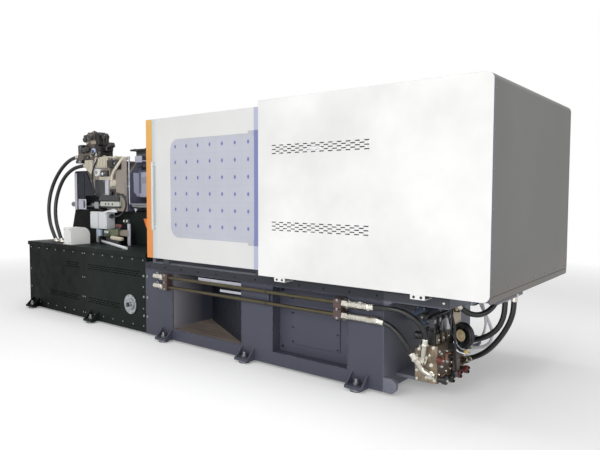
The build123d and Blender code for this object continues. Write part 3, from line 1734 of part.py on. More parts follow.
def make_hood():
    """White hood at the deck's edge with one round shoulder."""
    outer = block((hood_left_x, hood_right_x), (hood_near_y, hood_far_y), (deck_top_z, hood_top_z))
    outer = fillet(far_top_edge(outer, hood_top_z), hood_shoulder)
    inner = block(
        (hood_left_x + hood_sheet, hood_right_x - hood_sheet),
        (hood_near_y + hood_sheet, hood_far_y - hood_sheet),
        (deck_top_z, hood_top_z - hood_sheet),
    )
    return outer - fillet(far_top_edge(inner, hood_top_z - hood_sheet), hood_shoulder - hood_sheet)


def make_terminal_box():
    """Terminal box on two legs beside the injection unit."""
    box = block(
        (terminal_left_x, terminal_right_x),
        (terminal_near_y, terminal_far_y),
        (terminal_bottom_z, terminal_top_z),
    )
    box = chamfer(box.edges().filter_by(Axis.Z), terminal_edge)
    for x in (terminal_left_x + terminal_leg, terminal_right_x - 2 * terminal_leg):
        box = box + block(
            (x, x + terminal_leg),
            (terminal_far_y - 2 * terminal_leg, terminal_far_y - terminal_leg),
            (deck_top_z, terminal_bottom_z),
        )
    return box


# Control panel: a post on the deck and a leaning head with a screen and a key field
head_tilt = degrees(atan2(panel_head_lean, panel_head_top_z - panel_head_bottom_z))
panel_middle_x = (panel_post_left_x + panel_post_right_x) / 2


def on_panel(x, up, out):
    """Plane on the leaning face, a distance up from its lower edge, facing the operator."""
    tilt = radians(head_tilt)
    y = panel_head_front_y - up * sin(tilt) + out * cos(tilt)
    z = panel_head_bottom_z + up * cos(tilt) + out * sin(tilt)
    return Plane(origin=(x, y, z), x_dir=(-1, 0, 0), z_dir=(0, cos(tilt), sin(tilt)))


button_x = panel_middle_x + button_shift


def make_control_panel():
    profile = [
        (panel_post_back_y, deck_top_z),
        (panel_post_front_y, deck_top_z),
        (panel_post_front_y, panel_head_bottom_z - panel_head_step),
        (panel_head_front_y, panel_head_bottom_z),
        (panel_head_front_y - panel_head_lean, panel_head_top_z),
        (panel_post_back_y + panel_head_step, panel_head_top_z),
        (panel_post_back_y, panel_head_bottom_z - panel_head_step),
    ]
    body = slab_x(profile, panel_post_left_x, panel_post_right_x)
    screen = on_panel(panel_middle_x, screen_up, 0) * Box(*screen_size, 2 * screen_recess)
    keys = on_panel(panel_middle_x + keys_shift, keys_up, 0) * Box(*keys_size, screen_recess)
    seat = on_panel(button_x, button_up, -button_stem_depth / 2) * Cylinder(
        button_stem_radius + fit_clearance, button_stem_depth
    )
    return body - screen - keys - seat


def make_emergency_stop():
    stem_length = button_stem_depth - button_stroke + button_gap
    stem = Cylinder(button_stem_radius, stem_length)
    head = Cylinder(button_radius, button_height)
    stem = on_panel(button_x, button_up, button_gap - stem_length / 2) * stem
    return stem + on_panel(button_x, button_up, button_gap + button_height / 2) * head


# Hoses: straight runs joined by arcs as large as the runs allow
def make_hose(name, points, radius):
    corners = [Vector(*point) for point in points]
    radii = []
    for before, corner, after in zip(corners, corners[1:], corners[2:]):
        turn = (corner - before).get_angle(after - corner)
        shorter = min((corner - before).length, (after - corner).length)
        radii.append(0.45 * shorter / tan(radians(turn / 2)))
    path = FilletPolyline(*points, radius=radii)
    start = Plane(origin=path @ 0, z_dir=path % 0)
    tube = sweep(start * Circle(radius), path=path)
    expected = pi * radius ** 2 * path.length
    print(name, "length", round(path.length), "radii", [round(value) for value in radii])
    print(name, "volume over section times length", round(tube.volume / expected, 4))
    return tube


os.makedirs("parts", exist_ok=True)
save(make_clamp_bed(), "clamp_bed")
save(make_drop_chute(), "drop_chute")
save(make_injection_bed(), "injection_bed")
rear_panel_left, rear_panel_right = make_rear_panels()
save(rear_panel_left, "rear_panel_left")
save(rear_panel_right, "rear_panel_right")
save(make_tank_port(), "tank_port")

pads = []
for spots, half_width in ((clamp_foot_x, bed_half_width), (injection_foot_x, cabinet_half_width)):
    for x in spots:
        for side in (-1, 1):
            pads.append(levelling_pad(x, side * (half_width + foot_reach / 2)))
save(Compound(pads), "levelling_pads")

save(make_stationary_platen(), "stationary_platen")
save(make_tie_bars(tail_back_x + nut_thickness + tail_travel + tie_bar_spare), "tie_bars")
save(make_moving_platen(), "moving_platen")
save(make_tail_platen(), "tail_platen")
save(make_adjusting_nuts(), "adjusting_nuts")
save(make_clamp_cylinder(), "clamp_cylinder")
for name, maker in (
    ("rear_links", make_rear_link), ("front_links", make_front_link), ("small_links", make_small_link)
):
    upper_links = maker()
    save(upper_links, "upper_" + name)
    save(above_and_below(maker()), "lower_" + name)
save(make_crosshead(), "crosshead")
save(make_ejector(), "ejector")

save(make_cover_side((vent_upper_z, vent_lower_z), vent_rows), "cover_side_rear")
save(other_side(make_cover_side((vent_upper_z,), operator_vent_rows)), "cover_side_operator")
save(make_cover_top(), "cover_top")
save(make_cover_end(), "cover_end")
save(make_gate_tracks(), "gate_tracks")
save(make_gate(), "rear_gate")
save(make_gate_window(), "rear_gate_window")
save(make_gate_edge(), "rear_gate_edge")
save(other_side(make_gate() + make_gate_edge()), "operator_gate")
save(other_side(make_gate_window()), "operator_gate_window")

save(make_pipe(upper_pipe_z), "upper_pipe")
save(make_pipe(lower_pipe_z), "lower_pipe")
save(make_pipe_clamps(), "pipe_clamps")
save(Compound(list(make_pipe_fittings()) + make_elbows()), "pipe_fittings")
save(make_manifold_block(), "manifold_block")
save(make_manifold_valves(), "manifold_valves")
save(make_oil_filter(), "oil_filter")
save(make_oil_cooler(), "oil_cooler")

save(make_unit_rods(), "injection_guide_rods")
save(make_injection_housing(), "injection_housing")
save(make_barrel(), "barrel")
save(make_barrel_guard(), "barrel_guard")
save(make_throat_block(), "throat_block")
save(make_valve_stack(), "valve_stack")
save(make_ram(), "ram")
save(make_motor_cover(), "motor_cover")
save(make_screw(), "screw")
save(make_hood(), "hood")
save(make_terminal_box(), "terminal_box")
save(make_control_panel(), "control_panel")
save(make_emergency_stop(), "emergency_stop")

save(make_hose("upper_pipe_hose", upper_hose_points, hose_radius), "upper_pipe_hose")
save(make_hose("lower_pipe_hose", lower_hose_points, hose_radius), "lower_pipe_hose")
save(make_hose("loop_hose", loop_hose_points, hose_radius), "loop_hose")
save(make_hose("end_hose_outer", outer_hose_points, hose_radius), "end_hose_outer")
save(make_hose("end_hose_inner", inner_hose_points, hose_radius), "end_hose_inner")
save(make_hose("grey_tube", grey_tube_points, grey_hose_radius), "grey_tube")
save(make_hose("injection_hose_outer", injection_outer_points, hose_radius), "injection_hose_outer")
save(make_hose("injection_hose_inner", injection_inner_points, hose_radius), "injection_hose_inner")
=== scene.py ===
import json
from itertools import product
from math import cos, pi, radians, sin

import bmesh
import bpy
from mathutils import Matrix, Vector


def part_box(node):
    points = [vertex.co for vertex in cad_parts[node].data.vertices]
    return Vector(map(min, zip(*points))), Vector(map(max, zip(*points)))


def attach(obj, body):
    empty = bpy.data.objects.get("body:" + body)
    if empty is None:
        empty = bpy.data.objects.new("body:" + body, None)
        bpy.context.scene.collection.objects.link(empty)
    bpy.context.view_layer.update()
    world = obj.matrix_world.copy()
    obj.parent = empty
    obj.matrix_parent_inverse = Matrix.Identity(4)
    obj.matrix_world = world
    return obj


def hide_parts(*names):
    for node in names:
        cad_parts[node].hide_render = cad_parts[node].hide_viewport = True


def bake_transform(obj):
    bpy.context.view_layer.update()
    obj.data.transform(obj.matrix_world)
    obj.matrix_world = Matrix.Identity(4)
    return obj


# Injection moulding machine. Metres, +Z up, +X towards the clamp end, -Y the rear side.
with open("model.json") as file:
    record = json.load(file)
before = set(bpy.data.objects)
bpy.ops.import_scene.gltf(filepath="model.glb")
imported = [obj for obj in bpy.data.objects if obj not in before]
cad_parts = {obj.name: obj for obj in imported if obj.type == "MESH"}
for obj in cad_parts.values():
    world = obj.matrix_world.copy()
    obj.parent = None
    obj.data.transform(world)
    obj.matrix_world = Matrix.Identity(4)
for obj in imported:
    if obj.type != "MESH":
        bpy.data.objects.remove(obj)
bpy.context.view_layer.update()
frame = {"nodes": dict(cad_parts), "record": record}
nodes = frame["nodes"]
ROOT = "machine_base"


def show(name, data):
    made = bpy.data.objects.new(name, data)
    bpy.context.scene.collection.objects.link(made)
    return made


# Camera, at the photograph's viewing angle
CAMERA_PLACE = Vector((4.3394, -4.4976, 1.5))
CAMERA_YAW = radians(38.222)
CAMERA_PITCH = radians(3.292)
CAMERA_ROLL = radians(-0.167)
CAMERA_LENS = 34.425


def make_camera():
    forward = Vector((
        -sin(CAMERA_YAW) * cos(CAMERA_PITCH), cos(CAMERA_YAW) * cos(CAMERA_PITCH), -sin(CAMERA_PITCH)
    ))
    level = Vector((cos(CAMERA_YAW), sin(CAMERA_YAW), 0))
    down = forward.cross(level)
    right = level * cos(CAMERA_ROLL) + down * sin(CAMERA_ROLL)
    up = level * sin(CAMERA_ROLL) - down * cos(CAMERA_ROLL)
    camera = show("camera", bpy.data.cameras.new("camera"))
    camera.data.lens = CAMERA_LENS
    camera.data.sensor_width = 36
    camera.data.sensor_fit = "HORIZONTAL"
    camera.data.clip_end = 200
    turn = Matrix((right, up, -forward)).transposed().to_4x4()
    camera.matrix_world = Matrix.Translation(CAMERA_PLACE) @ turn
    bpy.context.scene.camera = camera


make_camera()


# Paint: half the width of a soft end in metres, and how far the rounded normal agrees with the
# flat one where an edge begins and where it is full
SOFT_END = 0.002
EDGE_DOT = (0.995, 0.86)


class Tree:
    """A node tree with short ways to add nodes to it."""

    def __init__(self, tree):
        self.tree = tree

    def node(self, kind, **settings):
        made = self.tree.nodes.new(kind)
        for key, value in settings.items():
            setattr(made, key, value)
        return made

    def link(self, output, target):
        self.tree.links.new(output, target)

    def fill(self, target, value):
        if isinstance(value, bpy.types.NodeSocket):
            self.link(value, target)
        else:
            target.default_value = value

    def maths(self, operation, first, second=0.0):
        made = self.node("ShaderNodeMath", operation=operation)
        self.fill(made.inputs[0], first)
        self.fill(made.inputs[1], second)
        return made.outputs[0]

    def both(self, first, second):
        return self.maths("MULTIPLY", first, second)

    def between(self, value, low, high, start=0.0, end=1.0):
        """The start value at low and the end value at high."""
        made = self.node("ShaderNodeMapRange")
        self.fill(made.inputs["Value"], value)
        for label, number in (("From Min", low), ("From Max", high), ("To Min", start), ("To Max", end)):
            made.inputs[label].default_value = number
        return made.outputs["Result"]

    def seen(self):
        """1 for what the camera sees, directly, by reflection or through glass."""
        path = self.node("ShaderNodeLightPath").outputs
        direct = self.maths("MAXIMUM", path["Is Camera Ray"], path["Is Glossy Ray"])
        return self.maths("MAXIMUM", direct, path["Is Transmission Ray"])


class Look(Tree):
    """A material with its principled shader and short ways to add nodes before it."""

    def __init__(self, name, roughness=0.5, metallic=0.0, **sockets):
        self.material = bpy.data.materials.new(name)
        self.material.use_nodes = True
        super().__init__(self.material.node_tree)
        self.shader = self.tree.nodes["Principled BSDF"]
        self.shader.inputs["Roughness"].default_value = roughness
        self.shader.inputs["Metallic"].default_value = metallic
        for label, value in sockets.items():
            self.shader.inputs[label.replace("_", " ")].default_value = value
        self.coordinates = self.node("ShaderNodeTexCoord").outputs["Object"]

    def stretched(self, scale):
        mapping = self.node("ShaderNodeMapping")
        mapping.inputs["Scale"].default_value = scale
        self.link(self.coordinates, mapping.inputs["Vector"])
        return mapping.outputs["Vector"]

    def noise(self, scale, detail=3.0, roughness=0.55, vector=None):
        made = self.node("ShaderNodeTexNoise")
        for label, number in (("Scale", scale), ("Detail", detail), ("Roughness", roughness)):
            made.inputs[label].default_value = number
        self.link(vector or self.coordinates, made.inputs["Vector"])
        return made.outputs["Fac"]

    def ramp(self, value, stops):
        made = self.node("ShaderNodeValToRGB")
        self.link(value, made.inputs["Fac"])
        elements = made.color_ramp.elements
        while len(elements) < len(stops):
            elements.new(0.5)
        for element, (place, colour) in zip(elements, stops):
            element.position = place
            element.color = (*colour, 1)
        return made.outputs["Color"]

    def drift(self, value, colour, dark=0.9, light=1.1, low=0.3, high=0.7):
        """A colour that goes from darker to lighter where the value rises from low to high."""
        return self.ramp(value, [(low, shade(colour, dark)), (high, shade(colour, light))])

    def mix(self, share, first, second):
        made = self.node("ShaderNodeMix", data_type="RGBA")
        self.fill(made.inputs["Factor"], share)
        for target, value in ((made.inputs["A"], first), (made.inputs["B"], second)):
            self.fill(target, value if isinstance(value, bpy.types.NodeSocket) else (*value, 1))
        return made.outputs["Result"]

    def over(self, tone, colour, mask, share=1.0):
        """The tone, with a colour laid over it where the mask is 1."""
        return self.mix(mask if share == 1.0 else self.both(mask, share), tone, colour)

    def axis(self, name):
        split = self.node("ShaderNodeSeparateXYZ")
        self.link(self.coordinates, split.inputs[0])
        return split.outputs[name]

    def strip(self, value, low, high):
        """1 between two places and 0 outside, with soft ends."""
        rise = self.between(value, low - SOFT_END, low + SOFT_END)
        return self.both(rise, self.between(value, high + SOFT_END, high - SOFT_END))

    def rounded(self, radius):
        made = self.node("ShaderNodeBevel", samples=4)
        made.inputs["Radius"].default_value = radius
        return made.outputs["Normal"]

    def edges(self, radius):
        """1 on edges that stand out, fading to 0 on flat ground."""
        dot = self.node("ShaderNodeVectorMath", operation="DOT_PRODUCT")
        self.link(self.rounded(radius), dot.inputs[0])
        self.link(self.node("ShaderNodeNewGeometry").outputs["Normal"], dot.inputs[1])
        return self.between(dot.outputs["Value"], *EDGE_DOT)

    def finish(self, colour, roughness, bump, strength, distance, edge=0.0):
        """The finished material; edge is the radius to which its edges look rounded."""
        self.link(colour, self.shader.inputs["Base Color"])
        if roughness is not None:
            self.link(roughness, self.shader.inputs["Roughness"])
        made = self.node("ShaderNodeBump")
        made.inputs["Strength"].default_value = strength
        made.inputs["Distance"].default_value = distance
        self.link(bump, made.inputs["Height"])
        if edge:
            self.link(self.rounded(edge), made.inputs["Normal"])
        self.link(made.outputs["Normal"], self.shader.inputs["Normal"])
        return self.material

    def sprayed(self, tone, gloss=None, strength=0.06, grain=420.0):
        """Finish of sprayed paint, with a faint orange peel."""
        return self.finish(tone, gloss, self.noise(grain, 2.0), strength, 0.0006, edge=0.003)


def shade(colour, factor):
    """A colour made darker or lighter, with no channel over 1."""
    return tuple(min(1.0, channel * factor) for channel in colour)


def srgb(text):
    """Linear colour of a hex triple."""
    parts = [int(text[place:place + 2], 16) / 255 for place in (0, 2, 4)]
    return tuple(part / 12.92 if part <= 0.04045 else ((part + 0.055) / 1.055) ** 2.4 for part in parts)


def enamel(name, colour, roughness=0.4, dust=0.5, shine=0.4, fade=None):
    """Sprayed paint: slow drift in tone, dust, and a painted shade that darkens it along X."""
    look = Look(name, roughness=roughness, Specular_IOR_Level=shine)
    tone = look.drift(look.noise(1.3, 4.0), colour)
    tone = look.over(tone, shade(colour, 1.6), look.between(look.noise(34.0, 4.0), 0.62, 0.78), 0.25 * dust)
    # Painted shade: a darker tone laid on along X
    if fade:
        start, end, paint = fade
        tone = look.over(tone, srgb(paint), look.between(look.axis("X"), start, end))
    gloss = look.drift(look.noise(9.0, 3.0), (roughness,) * 3, 0.85, 1.3, 0.3, 0.75)
    return look.sprayed(tone, gloss)


def casting(name, colour, roughness=0.55, metallic=0.0, shine=0.35, past=None, grime=0.0):
    """Painted sand casting: grainy skin, darker hollows, oil, and another colour past a place, painted
    shade on some castings and real paint on others.
    """
    look = Look(name, roughness=roughness, metallic=metallic, Specular_IOR_Level=shine)
    grain = look.noise(90.0, 6.0, 0.7)
    tone = look.drift(look.noise(3.0, 5.0), colour, 0.78, 1.18, 0.25, 0.75)
    tone = look.over(tone, shade(colour, 0.7), look.between(grain, 0.55, 0.9))
    tone = look.over(tone, shade(colour, 1.7), look.edges(0.005), 0.35)
    # Another colour past a place along an axis: painted shade on the manifold's end face and the housing's
    # front face, real paint on the valve stack and the feed throat
    if past:
        axis, place, paint = past
        tone = look.over(tone, srgb(paint), look.between(look.axis(axis), place - 0.001, place))
    if grime:
        oil = look.between(look.noise(13.0, 6.0, 0.65), 0.47, 0.62)
        tone = look.over(tone, shade(colour, 0.22), oil, grime)
    return look.finish(tone, None, grain, 0.35, 0.001, edge=0.004)


def metal(name, colour, roughness=0.3, stretch=(1, 1, 1), grime=0.35):
    """Turned or brushed metal: marks along one way, with oil in patches."""
    look = Look(name, roughness=roughness, metallic=1.0)
    marks = look.noise(60.0, 5.0, 0.6, look.stretched(stretch))
    tone = look.drift(marks, colour, 0.82, 1.1, 0.2, 0.8)
    tone = look.over(tone, shade(colour, 0.35), look.between(look.noise(7.0, 5.0), 0.5, 0.75), grime)
    gloss = look.drift(marks, (roughness,) * 3, 0.75, 1.35, 0.2, 0.8)
    return look.finish(tone, gloss, marks, 0.12, 0.0005, edge=0.0015)


def rubber(name, colour, roughness=0.45):
    """Hose rubber with the weave of its cloth wrap and rubbed, dusty patches."""
    look = Look(name, roughness=roughness)
    weave = look.noise(260.0, 2.0)
    rub = look.between(look.noise(11.0, 5.0), 0.5, 0.8)
    tone = look.over(look.drift(weave, colour, 0.7, 1.3), shade(colour, 3.0), rub, 0.45)
    gloss = look.ramp(rub, [(0.0, (roughness,) * 3), (1.0, (roughness + 0.25,) * 3)])
    return look.finish(tone, gloss, weave, 0.25, 0.0004)


def plastic(name, colour, roughness=0.4):
    """Moulded plastic with a fine grain."""
    look = Look(name, roughness=roughness)
    tone = look.drift(look.noise(5.0, 3.0), colour)
    return look.finish(tone, None, look.noise(300.0, 2.0), 0.12, 0.0004, edge=0.0015)


# Places on the machine where a colour changes: the drop bay, the bed's end, the gate's lilac strip of
# painted shadow from the cover's edge, and its film; then the film's pale colour and its colour in that
# painted shadow
BAY = (-0.165, 0.795)
BED_DEPTH = (-0.82, 0.8)
BED_END = 2.236
COVER_SHADOW_BAND = (0.998, 1.2)
FILM_RISE = (1.036, 2.022)
FILM_START = (0.03, 0.02)
FILM_PITCH = (0.160, 0.150)
FILM_MARK = (0.012, 0.017)
FILM_PALE = srgb("BABDC7")
FILM_SHADED = srgb("7C84B4")


def bed_paint(name):
    """Bed enamel: painted shadow of the gate on the top rail, dust and a painted pool of light on the drop
    bay's floor, painted light on the bay's side wall and on the bed's end face, chipped edges.
    """
    look = Look(name, roughness=0.45, Specular_IOR_Level=0.25)
    x, y, z = (look.axis(axis) for axis in "XYZ")
    paint = srgb("4B4D5A")
    tone = look.drift(look.noise(1.3, 4.0), paint)
    tone = look.over(tone, shade(paint, 1.6), look.between(look.noise(34.0, 4.0), 0.62, 0.78), 0.12)
    inside = look.both(look.strip(x, *BAY), look.strip(y, *BED_DEPTH))
    # Floor of the drop bay: dust, made lighter as a painted pool of light
    dust = look.ramp(look.noise(2.4, 5.0, 0.6, look.stretched((0.6, 3, 1))), [
        (0.3, srgb("6A625C")), (0.75, srgb("B4A296"))
    ])
    tone = look.over(tone, dust, look.both(inside, look.between(z, 0.15, 0.135)))
    # Side wall of the drop bay painted lighter towards the front: painted light
    wall = look.both(inside, look.between(x, BAY[0] + 0.012, BAY[0] + 0.006))
    tone = look.over(tone, srgb("9A989E"), look.both(wall, look.between(y, -0.42, BED_DEPTH[0])))
    # Everything past the bed's end painted lighter: painted light on the end face
    tone = look.over(tone, srgb("7A7C88"), look.between(x, BED_END, BED_END + 0.003), 0.8)
    # Top rail under the gate painted darker: painted shadow of the gate
    rail = look.both(look.between(z, 0.695, 0.712), look.between(y, -0.82, -0.829))
    tone = look.over(tone, srgb("23262A"), rail, 0.75)
    worn = look.both(look.edges(0.004), look.between(look.noise(18.0, 5.0), 0.48, 0.62))
    return look.sprayed(look.over(tone, srgb("84858C"), worn))


def gate_paint(name):
    """White gate: painted cool shade beside the leading strip, a lilac strip of painted shadow from the
    cover's edge where the cover begins, painted shade inside its foot, and the film's colour past its
    window.
    """
    look = Look(name, roughness=0.36)
    x, y, z = (look.axis(axis) for axis in "XYZ")
    tone = look.ramp(look.noise(1.1, 4.0), [(0.3, srgb("DCDCDB")), (0.7, srgb("E4E4E3"))])
    # Painted cool shade beside the leading strip
    tone = look.over(tone, srgb("C4D2D6"), look.between(x, -0.30, -0.375))
    # Lilac strip where the cover begins: painted shadow of the cover's edge
    cover_shadow = look.strip(x, *COVER_SHADOW_BAND)
    tone = look.over(tone, srgb("B7BAD2"), cover_shadow)
    # Inner side of the gate below its foot painted near black: painted shade under the gate
    inner = look.between(look.maths("ABSOLUTE", y), 0.863, 0.861)
    tone = look.over(tone, srgb("2E3034"), look.both(inner, look.between(z, 0.835, 0.83)))
    filmed = look.both(look.strip(z, *FILM_RISE), look.between(x, 0.928, 0.932))
    tone = look.over(tone, FILM_PALE, filmed)
    # The film's colour there is darkened too: painted shadow of the cover's edge
    tone = look.over(tone, FILM_SHADED, look.both(filmed, cover_shadow))
    return look.sprayed(tone, strength=0.05, grain=380.0)


def film(name):
    """Pale film on the window with rows of small blue marks and faint seams."""
    look = Look(name, roughness=0.28)
    x = look.axis("X")
    ways = []
    seams = []
    for value, start, pitch, size in zip((x, look.axis("Z")), FILM_START, FILM_PITCH, FILM_MARK):
        way = look.maths("PINGPONG", look.maths("ADD", value, start), pitch / 2)
        ways.append(look.maths("POWER", look.maths("DIVIDE", way, size), 2.0))
        seams.append(look.between(way, pitch / 2 - 0.004, pitch / 2 - 0.001))
    distance = look.maths("ADD", *ways)
    tone = look.ramp(look.noise(2.2, 4.0), [(0.3, FILM_PALE), (0.7, srgb("C1C4CF"))])
    tone = look.over(tone, srgb("A9AEDC"), look.between(distance, 7.0, 1.0), 0.22)
    tone = look.over(tone, srgb("ACB0BC"), look.maths("MAXIMUM", *seams), 0.35)
    tone = look.over(tone, srgb("565C9A"), look.between(distance, 1.3, 0.7), 0.85)
    # Strip of painted shadow from the cover's edge across the film
    tone = look.over(tone, FILM_SHADED, look.strip(x, *COVER_SHADOW_BAND))
    return look.finish(tone, None, look.noise(45.0, 3.0), 0.06, 0.0008)


def end_sheet(name):
    """Grey sheet, bluish along its folded edge, with painted shade darkening it away from that edge and a
    painted warm reflection low down.
    """
    look = Look(name, roughness=0.34, Specular_IOR_Level=0.3)
    y = look.axis("Y")
    tone = look.drift(look.noise(1.3, 4.0), srgb("5C5C5A"), 0.92)
    tone = look.over(tone, srgb("626278"), look.between(y, -0.895, -0.94), 0.75)
    # Painted shade: darker away from the folded edge
    tone = look.over(tone, srgb("3E3D38"), look.between(y, -0.5, 0.6), 0.95)
    # Painted warm reflection low down on the sheet
    low = look.both(look.between(look.axis("Z"), 1.02, 0.79), look.noise(3.0, 4.0))
    return look.sprayed(look.over(tone, srgb("6E645A"), low), strength=0.05)


def leading_strip(name):
    """Orange strip that is more yellow at its top."""
    look = Look(name, roughness=0.4)
    height = look.between(look.axis("Z"), 0.83, 2.215)
    tone = look.ramp(height, [(0.0, srgb("E88A3C")), (0.55, srgb("E79A48")), (1.0, srgb("E5B45C"))])
    tone = look.over(tone, srgb("F2C690"), look.noise(6.0, 3.0), 0.12)
    return look.finish(tone, None, look.noise(300.0, 2.0), 0.06, 0.0005, edge=0.003)


# Colour and roughness of each look, with what else its kind of surface takes
FINISHES = {
    enamel: {
        # Drop chute painted near black: painted shade in the drop bay
        "chute_dark": ("23262E", 0.5, {"shine": 0.2}),
        # Injection bed painted darker towards its -X end: painted shade
        "cabinet_dark": ("1F2624", 0.45, {"dust": 0.3, "shine": 0.07, "fade": (-1.6, -2.2, "090C0B")}),
        "cylinder_grey": ("74777C", 0.4), "cover_white": ("EBEBEA", 0.38, {"dust": 0.0}),
        "track_steel": ("5C5E66", 0.45), "filter_black": ("1D1D1E", 0.35), "cooler_blue": ("4E5A6C", 0.4),
        "guard_lilac": ("B4B6C6", 0.4), "motor_navy": ("1E222C", 0.42, {"shine": 0.2}),
        "hood_white": ("F1F2F0", 0.38), "terminal_white": ("ECEFF1", 0.38), "panel_grey": ("B8BABE", 0.4),
        "plate_dark": ("38393B", 0.45), "strip_light": ("C9CAD4", 0.35), "slab_pale": ("C6CBC2", 0.4),
        "shield_blue": ("6C7088", 0.4), "bracket_lilac": ("C6C4D2", 0.38), "post_beige": ("DCCFBA", 0.4),
        "olive_cover": ("70765C", 0.45), "orange_sheet": ("E87C34", 0.4), "edge_purple": ("6E6A7A", 0.4),
    },
    casting: {
        "platen_cast": ("9C9A98", 0.55), "link_steel": ("868A8E", 0.5, {"metallic": 0.4}),
        # Manifold's end face painted darker: painted shade
        "manifold_tan": ("978874", 0.42, {"metallic": 0.3, "past": ("X", 2.5985, "5F5346"), "grime": 0.6}),
        # Housing's front face painted slate: painted shade
        "housing_beige": ("9A9288", 0.5, {"past": ("X", -1.501, "5A5C70")}), "throat_dark": ("35363A", 0.5),
        "stack_tan": ("6E655A", 0.5),
        "stack_body": ("6E655A", 0.5, {"past": ("X", -2.21, "262423"), "grime": 0.4}),
        "throat_body": ("707876", 0.5, {"past": ("Z", 1.962, "35363A")}), "ram_cast": ("3C3C42", 0.5),
        # stack_light has the colour of highlights on the valve stack; its blocks on the stack are painted
        # highlights
        "stack_seam": ("3A342E", 0.55), "stack_light": ("A89C8C", 0.5), "cream_metal": ("CFC7B6", 0.42),
        "taupe_cast": ("9E958C", 0.5), "copper_tan": ("9A7460", 0.45), "cap_beige": ("B7A582", 0.35),
    },
    metal: {
        "stainless": ("B4B8BC", 0.3), "zinc": ("8E9094", 0.42),
        "chrome_bar": ("D2D4D8", 0.12, {"stretch": (1, 20, 20)}), "nut_steel": ("6C6E72", 0.45),
        "ejector_steel": ("96999C", 0.35), "pipe_bronze": ("5E5846", 0.38, {"stretch": (1, 12, 12)}),
        "fitting_zinc": ("D0CCC2", 0.27, {"grime": 0.6}), "unit_rods": ("9A9CA0", 0.3),
        "barrel_steel": ("86827C", 0.4), "screw_steel": ("96999C", 0.3), "bolt_zinc": ("A8AAB0", 0.35),
        "bolt_black": ("3A3A3E", 0.45), "bolt_bright": ("E0DED6", 0.2, {"grime": 0.1}),
        "plate_light": ("B9BDC2", 0.3), "brass": ("D6BE86", 0.3),
        "ferrule_white": ("E8E6DC", 0.25, {"grime": 0.1}),
    },
    plastic: {
        "window_clear": ("C8CED2", 0.12), "clamp_brown": ("54413C", 0.5), "valve_dark": ("2A2A2C", 0.4),
        "stop_red": ("C8201A", 0.25), "tube_grey": ("E6E6EC", 0.35), "coil_black": ("201F21", 0.35),
        "connector_grey": ("48484C", 0.45), "gauge_rim": ("AEB8D2", 0.3), "gauge_face": ("C6D0EC", 0.25),
        "gauge_blue": ("4266C4", 0.3), "knob_red": ("6A2A24", 0.35), "bottle_pale": ("BAC5DA", 0.3),
        "screen_dark": ("15171A", 0.15), "screen_glow": ("2C3A4E", 0.1), "key_pale": ("D6D8DA", 0.4),
    },
    rubber: {
        "hose_black": ("1C1C1D", 0.3), "cream_hose": ("DCD5C4", 0.5), "cable_black": ("17171A", 0.4),
    },
}
looks = {
    "bed_grey": bed_paint("bed_grey"), "cover_grey": end_sheet("cover_grey"),
    "gate_white": gate_paint("gate_white"), "window_film": film("window_film"),
    "edge_orange": leading_strip("edge_orange"),
}
for kind, rows in FINISHES.items():
    for look, (colour, roughness, *options) in rows.items():
        looks[look] = kind(look, srgb(colour), roughness, **(options[0] if options else {}))


def dress(node, look):
    for place in nodes[node].material_slots:
        place.material = looks[look]


for part in frame["record"]["subparts"]:
    dress(part["node"], part["material_slot"])
dress("valve_stack", "stack_body")
dress("throat_block", "throat_body")


# Hoses of the part: radius and length in metres, look, stiffness and the route in millimetres
HOSE = 0.020
LARGE_HOSE = 0.0235
GREY_HOSE = 0.012
HOSE_ROUTES = {
    "upper_pipe_hose": (HOSE, 0.586, "hose_black", "stiff", [
        (2136, -870, 650), (2228, -870, 655), (2320, -868, 659), (2408, -852, 648), (2480, -824, 607),
        (2525, -788, 546), (2539, -757, 478), (2526, -745, 412),
    ]),
    "lower_pipe_hose": (HOSE, 0.382, "hose_black", "stiff", [
        (2221, -870, 555), (2282, -869, 546), (2335, -860, 517), (2377, -843, 468), (2408, -822, 412),
        (2436, -798, 358), (2460, -775, 306),
    ]),
    "loop_hose": (HOSE, 0.438, "hose_black", "stiff", [
        (2714, -622, 702), (2748, -576, 654), (2787, -520, 622), (2829, -460, 616), (2868, -405, 642),
        (2898, -357, 692), (2911, -332, 757),
    ]),
    "end_hose_outer": (HOSE, 0.701, "hose_black", "stiff", [
        (3011, -300, 752), (3011, -300, 660), (2990, -298, 572), (2949, -292, 486), (2892, -280, 400),
        (2822, -262, 318), (2740, -242, 252), (2648, -226, 206),
    ]),
    "end_hose_inner": (HOSE, 0.519, "hose_black", "stiff", [
        (2957, -330, 752), (2957, -330, 665), (2945, -330, 580), (2908, -330, 502), (2846, -330, 443),
        (2768, -330, 402), (2684, -330, 376),
    ]),
    "grey_tube": (GREY_HOSE, 0.599, "tube_grey", "medium", [
        (2712, -215, 752), (2718, -215, 690), (2742, -215, 626), (2778, -215, 560), (2811, -215, 494),
        (2830, -215, 430), (2818, -215, 366), (2773, -215, 323), (2710, -215, 303), (2646, -215, 298),
    ]),
    "injection_hose_outer": (LARGE_HOSE, 1.506, "hose_black", "stiff", [
        (-2582.4, -374, 1945), (-2710, -374, 1945), (-2870, -420, 1848), (-2994, -470, 1680),
        (-3070, -506, 1490), (-3078, -534, 1296), (-3012, -562, 1120), (-2890, -590, 978),
        (-2740, -612, 847),
    ]),
    "injection_hose_inner": (LARGE_HOSE, 1.406, "hose_black", "stiff", [
        (-2395.4, -374, 1832), (-2490, -374, 1832), (-2620, -440, 1796), (-2784, -474, 1680),
        (-2890, -498, 1504), (-2916, -528, 1316), (-2868, -554, 1140), (-2760, -584, 1000),
        (-2620, -608, 847),
    ]),
}

